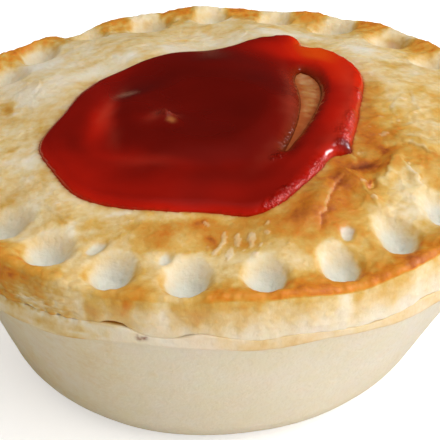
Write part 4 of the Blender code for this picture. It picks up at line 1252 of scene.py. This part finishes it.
def make_sauce(finish):
    """The tomato sauce: a glossy pool with a skirt, ripples along its right edge and a bump."""
    outer = sauce_outline(SAUCE_SIDES)
    hole = crescent_outline(CRESCENT_SIDES)
    upper = grid_points(outer, hole, SAUCE_SPACING, SAUCE_SPACING * 0.6)
    lower = grid_points(outer, hole, 5.0 * SAUCE_SPACING, 3.0 * SAUCE_SPACING)
    edge_count = len(outer) + len(hole)
    top_flat, top_faces = sheet_triangles((outer, hole), upper)
    low_flat, low_faces = sheet_triangles((outer, hole), lower)
    x, y = top_flat.T
    flat_points = np.stack([x, y, np.zeros_like(x)], axis=1)
    outer_gap = distance_to(outer, x, y)
    hole_gap = distance_to(hole, x, y)
    edge_gap = np.minimum(outer_gap, hole_gap)
    edge_gap[:edge_count] = 0.0

    short = 1.0 - np.clip(edge_gap / SKIRT_ROUND, 0.0, 1.0)
    thickness = sauce_thickness(x, y, edge_gap) * (1.0 - short ** 2) ** 0.2
    band = np.exp(-((edge_gap - 0.8 * MM) / (1.2 * MM)) ** 2) * blend(0.004, 0.010, x)
    glint = np.clip(streak_amount(GLINTS, *warped(flat_points, *GLINT_WARP)), 0.0, 1.0)
    nub = np.hypot(x - NUB_PLACE[0] * MM, y - NUB_PLACE[1] * MM) / (NUB_RADIUS * MM)
    ripple = noise("ripple", flat_points) + band * noise("edge_bumps", flat_points)
    ripple += glint * noise("glint", flat_points) + NUB_HEIGHT * np.exp(-nub ** 2)
    thickness += ripple * MM * blend(0.0, 0.9 * MM, edge_gap)
    top = np.stack([x, y, lid_height(x, y) - SAUCE_SINK + thickness], axis=1)
    low_x, low_y = low_flat[edge_count:].T
    low = np.stack([low_x, low_y, lid_height(low_x, low_y) - SAUCE_SINK - SAUCE_UNDER], axis=1)
    points = np.concatenate([top, low])
    offset = len(top) - edge_count
    low_faces = np.where(low_faces >= edge_count, low_faces + offset, low_faces)[:, ::-1]
    mesh = bpy.data.meshes.new("tomato_sauce_pool")
    mesh.from_pydata(points.tolist(), [], top_faces.tolist() + low_faces.tolist())
    mesh.update()

    pool = 1.0 - blend(0.55, 1.25, pool_share(x, y))
    beside = blend(-0.001, 0.005, x - crescent_middle(y)) * blend(-0.030, -0.010, y)
    back = blend(0.0, 0.020, y)
    rim = blend(-1.8 * MM, 2.2 * MM, outer_gap)
    depth = SKIRT_DEPTH + POOL_DEPTH * pool - 0.02 * back * (1.0 - beside)
    depth -= LOOP_DEPTH * beside * (1.0 + 0.6 * back)
    depth *= rim + (1.0 - rim) * 0.8 * back * (1.0 - beside)
    depth += noise("depth", flat_points)
    depth += streak_amount(SHADES, *warped(flat_points, *SHADE_WARP))
    spot_x, spot_y = warped(flat_points, *SPOT_WARP)
    spot = np.hypot(spot_x - SPOT_PLACE[0] * MM, spot_y - SPOT_PLACE[1] * MM)
    shown = {
        "depth": depth,
        # The pale pinkish streaks are painted reflection, where the pool's shoulders, the loop and
        # the bump would mirror the lamps.
        "painted_reflection": streak_amount(PAINTED_SAUCE_REFLECTIONS, *warped(flat_points, *PAINTED_REFLECTION_WARP)),
        "spot": np.exp(-(spot / (SPOT_RADIUS * MM)) ** 4),
        "thin": np.exp(-(hole_gap / (1.1 * MM)) ** 2) * (0.6 + 0.3 * blend(-0.008, -0.014, y)),
        "glint": glint,
    }
    fields = {key: np.concatenate([values, np.zeros(len(low))]) for key, values in shown.items()}
    return finish_piece("tomato_sauce_pool", mesh, points, fields, finish, "tomato_sauce")


# Where a colour Mix node keeps its share, its two colours and its result.
MIX_INPUTS = (0, 6, 7)
MIX_RESULT = 2
NOISE_ROUGHNESS = 0.55


class Finish:
    """A Principled material and short calls for its nodes."""

    def __init__(self, name):
        self.material = bpy.data.materials.new(name)
        self.material.use_nodes = True
        self.nodes = self.material.node_tree.nodes
        self.links = self.material.node_tree.links
        self.shader = self.nodes["Principled BSDF"]

    def set(self, **values):
        """Sets the shader's own inputs, named with underscores for spaces."""
        for name, value in values.items():
            self.shader.inputs[name.replace("_", " ")].default_value = value

    def put(self, target, value):
        """Fills an input from a socket, a screen colour or a number."""
        if isinstance(value, bpy.types.NodeSocket):
            self.links.new(value, target)
        elif isinstance(value, tuple):
            target.default_value = (*linear(*value), 1.0)
        else:
            target.default_value = value

    def node(self, kind, **inputs):
        """A new node with its inputs filled, named with underscores for spaces."""
        node = self.nodes.new("ShaderNode" + kind)
        for name, value in inputs.items():
            self.put(node.inputs[name.replace("_", " ")], value)
        return node

    def field(self, name):
        """A value kept on the mesh's points."""
        node = self.node("Attribute")
        node.attribute_name = name
        return node.outputs["Fac"]

    def noise(self, bumps_per_metre, detail=3.0):
        """Fine noise in object space, 0 to 1."""
        place = self.node("TexCoord").outputs["Object"]
        return self.node("TexNoise", Vector=place, Scale=bumps_per_metre, Detail=detail,
                         Roughness=NOISE_ROUGHNESS).outputs["Fac"]

    def math(self, kind, first, second):
        """One sum on two values, each a number or a socket."""
        node = self.node("Math")
        node.operation = kind
        self.put(node.inputs[0], first)
        self.put(node.inputs[1], second)
        return node.outputs[0]

    def vary(self, value, noise_value, amount):
        """The value moved up and down by amount with the noise."""
        swing = self.math("MULTIPLY", self.math("SUBTRACT", noise_value, 0.5), amount)
        return self.math("ADD", value, swing)

    def ramp(self, value, stops):
        """A colour from (place, colour) stops."""
        node = self.node("ValToRGB", Fac=value)
        points = node.color_ramp.elements
        while len(points) < len(stops):
            points.new(0.5)
        for point, (place, colour) in zip(points, stops):
            point.position = place
            point.color = (*linear(*colour), 1.0)
        return node.outputs["Color"]

    def mix(self, share, first, second, kind="MIX"):
        """Two colours mixed; each is a socket or a screen colour."""
        node = self.node("Mix")
        node.data_type = "RGBA"
        node.blend_type = kind
        node.clamp_factor = True
        for index, value in zip(MIX_INPUTS, (share, first, second)):
            self.put(node.inputs[index], value)
        return node.outputs[MIX_RESULT]

    def colour(self, socket):
        """The surface's colour."""
        self.links.new(socket, self.shader.inputs["Base Color"])

    def roughness(self, value, low, high):
        """Roughness between low and high as value goes from 0 to 1."""
        node = self.node("MapRange", Value=value, To_Min=low, To_Max=high)
        self.links.new(node.outputs["Result"], self.shader.inputs["Roughness"])

    def bump(self, height, metres, strength):
        """Fine relief from a 0 to 1 height that is worth so many metres."""
        node = self.node("Bump", Height=height, Distance=metres, Strength=strength)
        self.links.new(node.outputs["Normal"], self.shader.inputs["Normal"])


CRUST_COLOURS = (
    (0.00, (229, 222, 208)), (0.20, (227, 214, 186)), (0.36, (221, 196, 143)),
    (0.50, (209, 168, 85)), (0.62, (204, 146, 48)), (0.76, (208, 126, 12)),
    (0.90, (178, 92, 10)), (1.00, (142, 66, 14)),
)


WARM_DOUGH = (255, 244, 244)
GREY_DOUGH = (252, 250, 226)
DOUGH_TINT = 0.6
DEEP_BROWN = (206, 190, 170)
ROSY_DOUGH = (232, 198, 166)
ROSY_SHARE = 0.45
CHALK_COLOURS = ((199, 199, 186), (222, 222, 211))
SAUCE_STAIN = (196, 116, 66)
HOLE_COLOUR = (130, 62, 34)


def crust_finish(name, holes=False):
    """Baked pastry: its tone from raw dough to brown, chalky dimples and sauce stains."""
    finish = Finish(name)
    fine = finish.noise(1300.0)
    patchy = finish.noise(420.0, detail=4.0)
    broad = finish.noise(190.0, detail=2.0)
    tone = finish.vary(finish.vary(finish.field("tone"), fine, 0.16), patchy, 0.20)
    colour = finish.ramp(tone, CRUST_COLOURS)
    colour = finish.mix(broad, finish.mix(DOUGH_TINT, colour, WARM_DOUGH, "MULTIPLY"),
                        finish.mix(DOUGH_TINT, colour, GREY_DOUGH, "MULTIPLY"))
    colour = finish.mix(finish.field("deep"), colour, DEEP_BROWN, "MULTIPLY")
    # The pink share is the dough's own rosy colour on the side and lip, and painted highlight on
    # the blister tops.
    rosy = finish.math("MULTIPLY", finish.field("pink"), ROSY_SHARE)
    colour = finish.mix(rosy, colour, ROSY_DOUGH)
    chalky = finish.mix(patchy, *CHALK_COLOURS)
    colour = finish.mix(finish.field("chalk"), colour, chalky)
    colour = finish.mix(finish.field("film"), colour, SAUCE_STAIN, "MULTIPLY")
    if holes:
        colour = finish.mix(finish.field("dark"), colour, HOLE_COLOUR)
    finish.colour(colour)
    finish.roughness(patchy, 0.42, 0.62)
    finish.set(Specular_IOR_Level=0.35, Subsurface_Weight=0.10, Subsurface_Scale=0.0012)
    finish.bump(finish.math("ADD", fine, patchy), metres=0.00018, strength=0.8)
    return finish.material


SAUCE_COLOURS = (
    (0.00, (214, 66, 4)), (0.14, (204, 34, 2)), (0.32, (176, 20, 2)), (0.50, (142, 14, 2)),
    (0.70, (108, 10, 2)), (1.00, (76, 6, 1)),
)


THIN_SAUCE = (112, 44, 12)
PAINTED_REFLECTION_COLOUR = (212, 104, 74)
BARE_SPOT = (150, 84, 42)


def sauce_finish():
    """Thick tomato sauce: orange-red where it is thin and dark red where it is deep."""
    finish = Finish("tomato_sauce_gloss")
    cloudy = finish.noise(150.0, detail=2.0)
    colour = finish.ramp(finish.vary(finish.field("depth"), cloudy, 0.12), SAUCE_COLOURS)
    # The pale pinkish streaks mixed in here are painted reflections laid over the sauce's colour.
    for name, stain in (("thin", THIN_SAUCE), ("painted_reflection", PAINTED_REFLECTION_COLOUR), ("spot", BARE_SPOT)):
        colour = finish.mix(finish.field(name), colour, stain)
    finish.colour(colour)
    glint = finish.field("glint")
    finish.roughness(glint, 0.18, 0.08)
    finish.set(Specular_IOR_Level=0.42)
    rippled = finish.math("MULTIPLY", finish.noise(1600.0, detail=2.0), glint)
    finish.bump(rippled, metres=0.00100, strength=1.0)
    return finish.material


def look_matrix(back, spot, distance, roll):
    """A camera's matrix, distance along back from the spot it looks at, turned by roll."""
    right = Vector((1.0, 0.0, 0.0))
    up = right.cross(-back)
    across = math.cos(roll) * right + math.sin(roll) * up
    upward = math.cos(roll) * up - math.sin(roll) * right
    place = spot + distance * back
    return Matrix([(across[i], upward[i], back[i], place[i]) for i in range(3)]
                  + [(0.0, 0.0, 0.0, 1.0)])


# The photograph's view: 31 degrees above the table, close, with a long lens.
VIEW_ELEVATION = math.radians(30.97)
VIEW_ROLL = math.radians(-1.383)
VIEW_DISTANCE = 4.5 * LIP_RADIUS
VIEW_SPOT = Vector((-0.000275, 0.0, 0.02397))
FOCAL_PIXELS = 1335.8
FRAME_PIXELS = 440
SENSOR_MM = 36.0
CLIP_START = 0.01


def make_camera():
    """The camera of the photograph's view."""
    back = Vector((0.0, -math.cos(VIEW_ELEVATION), math.sin(VIEW_ELEVATION)))
    data = bpy.data.cameras.new("camera")
    data.sensor_width = SENSOR_MM
    data.lens = SENSOR_MM * FOCAL_PIXELS / FRAME_PIXELS
    data.clip_start = CLIP_START
    camera = bpy.data.objects.new("camera", data)
    camera.matrix_world = look_matrix(back, VIEW_SPOT, VIEW_DISTANCE, VIEW_ROLL)
    bpy.context.scene.collection.objects.link(camera)
    bpy.context.scene.camera = camera


def add_light(name, place, width, height, watts, shines):
    """A soft light that faces the pie: it shines on it, or is only seen reflected in it."""
    data = bpy.data.lights.new(name, "AREA")
    data.shape = "RECTANGLE"
    data.size = width
    data.size_y = height
    data.energy = watts
    light = bpy.data.objects.new(name, data)
    light.location = place
    light.rotation_euler = (LIGHT_AIM - Vector(place)).to_track_quat("-Z", "Y").to_euler()
    light.visible_diffuse = shines
    light.visible_glossy = not shines
    bpy.context.scene.collection.objects.link(light)


# The lights: (name, place, width, height, watts, whether it shines on the pie).
LIGHTS = (
    ("window", (0.44, -0.26, 0.30), 0.80, 0.80, 4.6, True),
    ("overhead", (0.10, 0.10, 0.75), 0.60, 0.60, 1.4, True),
    ("window_reflection", (0.52, 0.10, 0.17), 0.36, 0.06, 2.4, False),
    ("lamp_reflection", (0.28, -0.10, 0.55), 0.12, 0.12, 1.0, False),
)
LIGHT_AIM = Vector((0.0, 0.0, 0.03))
TABLE_HALF_WIDTH = 3.0
TABLE_WHITE = 0.90
TABLE_GLOW = 0.45
ROOM_LIGHT = 0.45
ROOM_REFLECTION = 0.012


def make_studio():
    """A plain white table, a soft light at the right, weak ones elsewhere and a pale room."""
    mesh = bpy.data.meshes.new("table")
    corners = [(TABLE_HALF_WIDTH * x, TABLE_HALF_WIDTH * y, 0.0)
               for x, y in ((-1, -1), (1, -1), (1, 1), (-1, 1))]
    mesh.from_pydata(corners, [], [(0, 1, 2, 3)])
    table = bpy.data.objects.new("table", mesh)
    finish = Finish("table_white")
    finish.set(Base_Color=(TABLE_WHITE, TABLE_WHITE, TABLE_WHITE, 1.0), Roughness=0.9,
               Specular_IOR_Level=0.1, Emission_Color=(1.0, 1.0, 1.0, 1.0))
    seen = finish.node("LightPath").outputs["Is Camera Ray"]
    glow = finish.math("MULTIPLY", seen, TABLE_GLOW)
    finish.links.new(glow, finish.shader.inputs["Emission Strength"])
    mesh.materials.append(finish.material)
    bpy.context.scene.collection.objects.link(table)
    table.visible_glossy = False
    for light in LIGHTS:
        add_light(*light)
    world = bpy.data.worlds.new("room")
    world.use_nodes = True
    nodes = world.node_tree.nodes
    background = nodes["Background"]
    background.inputs["Color"].default_value = (1.0, 1.0, 1.0, 1.0)
    rays = nodes.new("ShaderNodeLightPath")
    level = nodes.new("ShaderNodeMapRange")
    level.inputs["To Min"].default_value = ROOM_LIGHT
    level.inputs["To Max"].default_value = ROOM_REFLECTION
    world.node_tree.links.new(rays.outputs["Is Glossy Ray"], level.inputs["Value"])
    world.node_tree.links.new(level.outputs["Result"], background.inputs["Strength"])
    bpy.context.scene.world = world
    bpy.context.scene.view_settings.view_transform = "Standard"


make_lid(crust_finish("lid_pastry_baked"))
make_case(crust_finish("case_pastry_baked", holes=True))
make_sauce(sauce_finish())
make_studio()
make_camera()
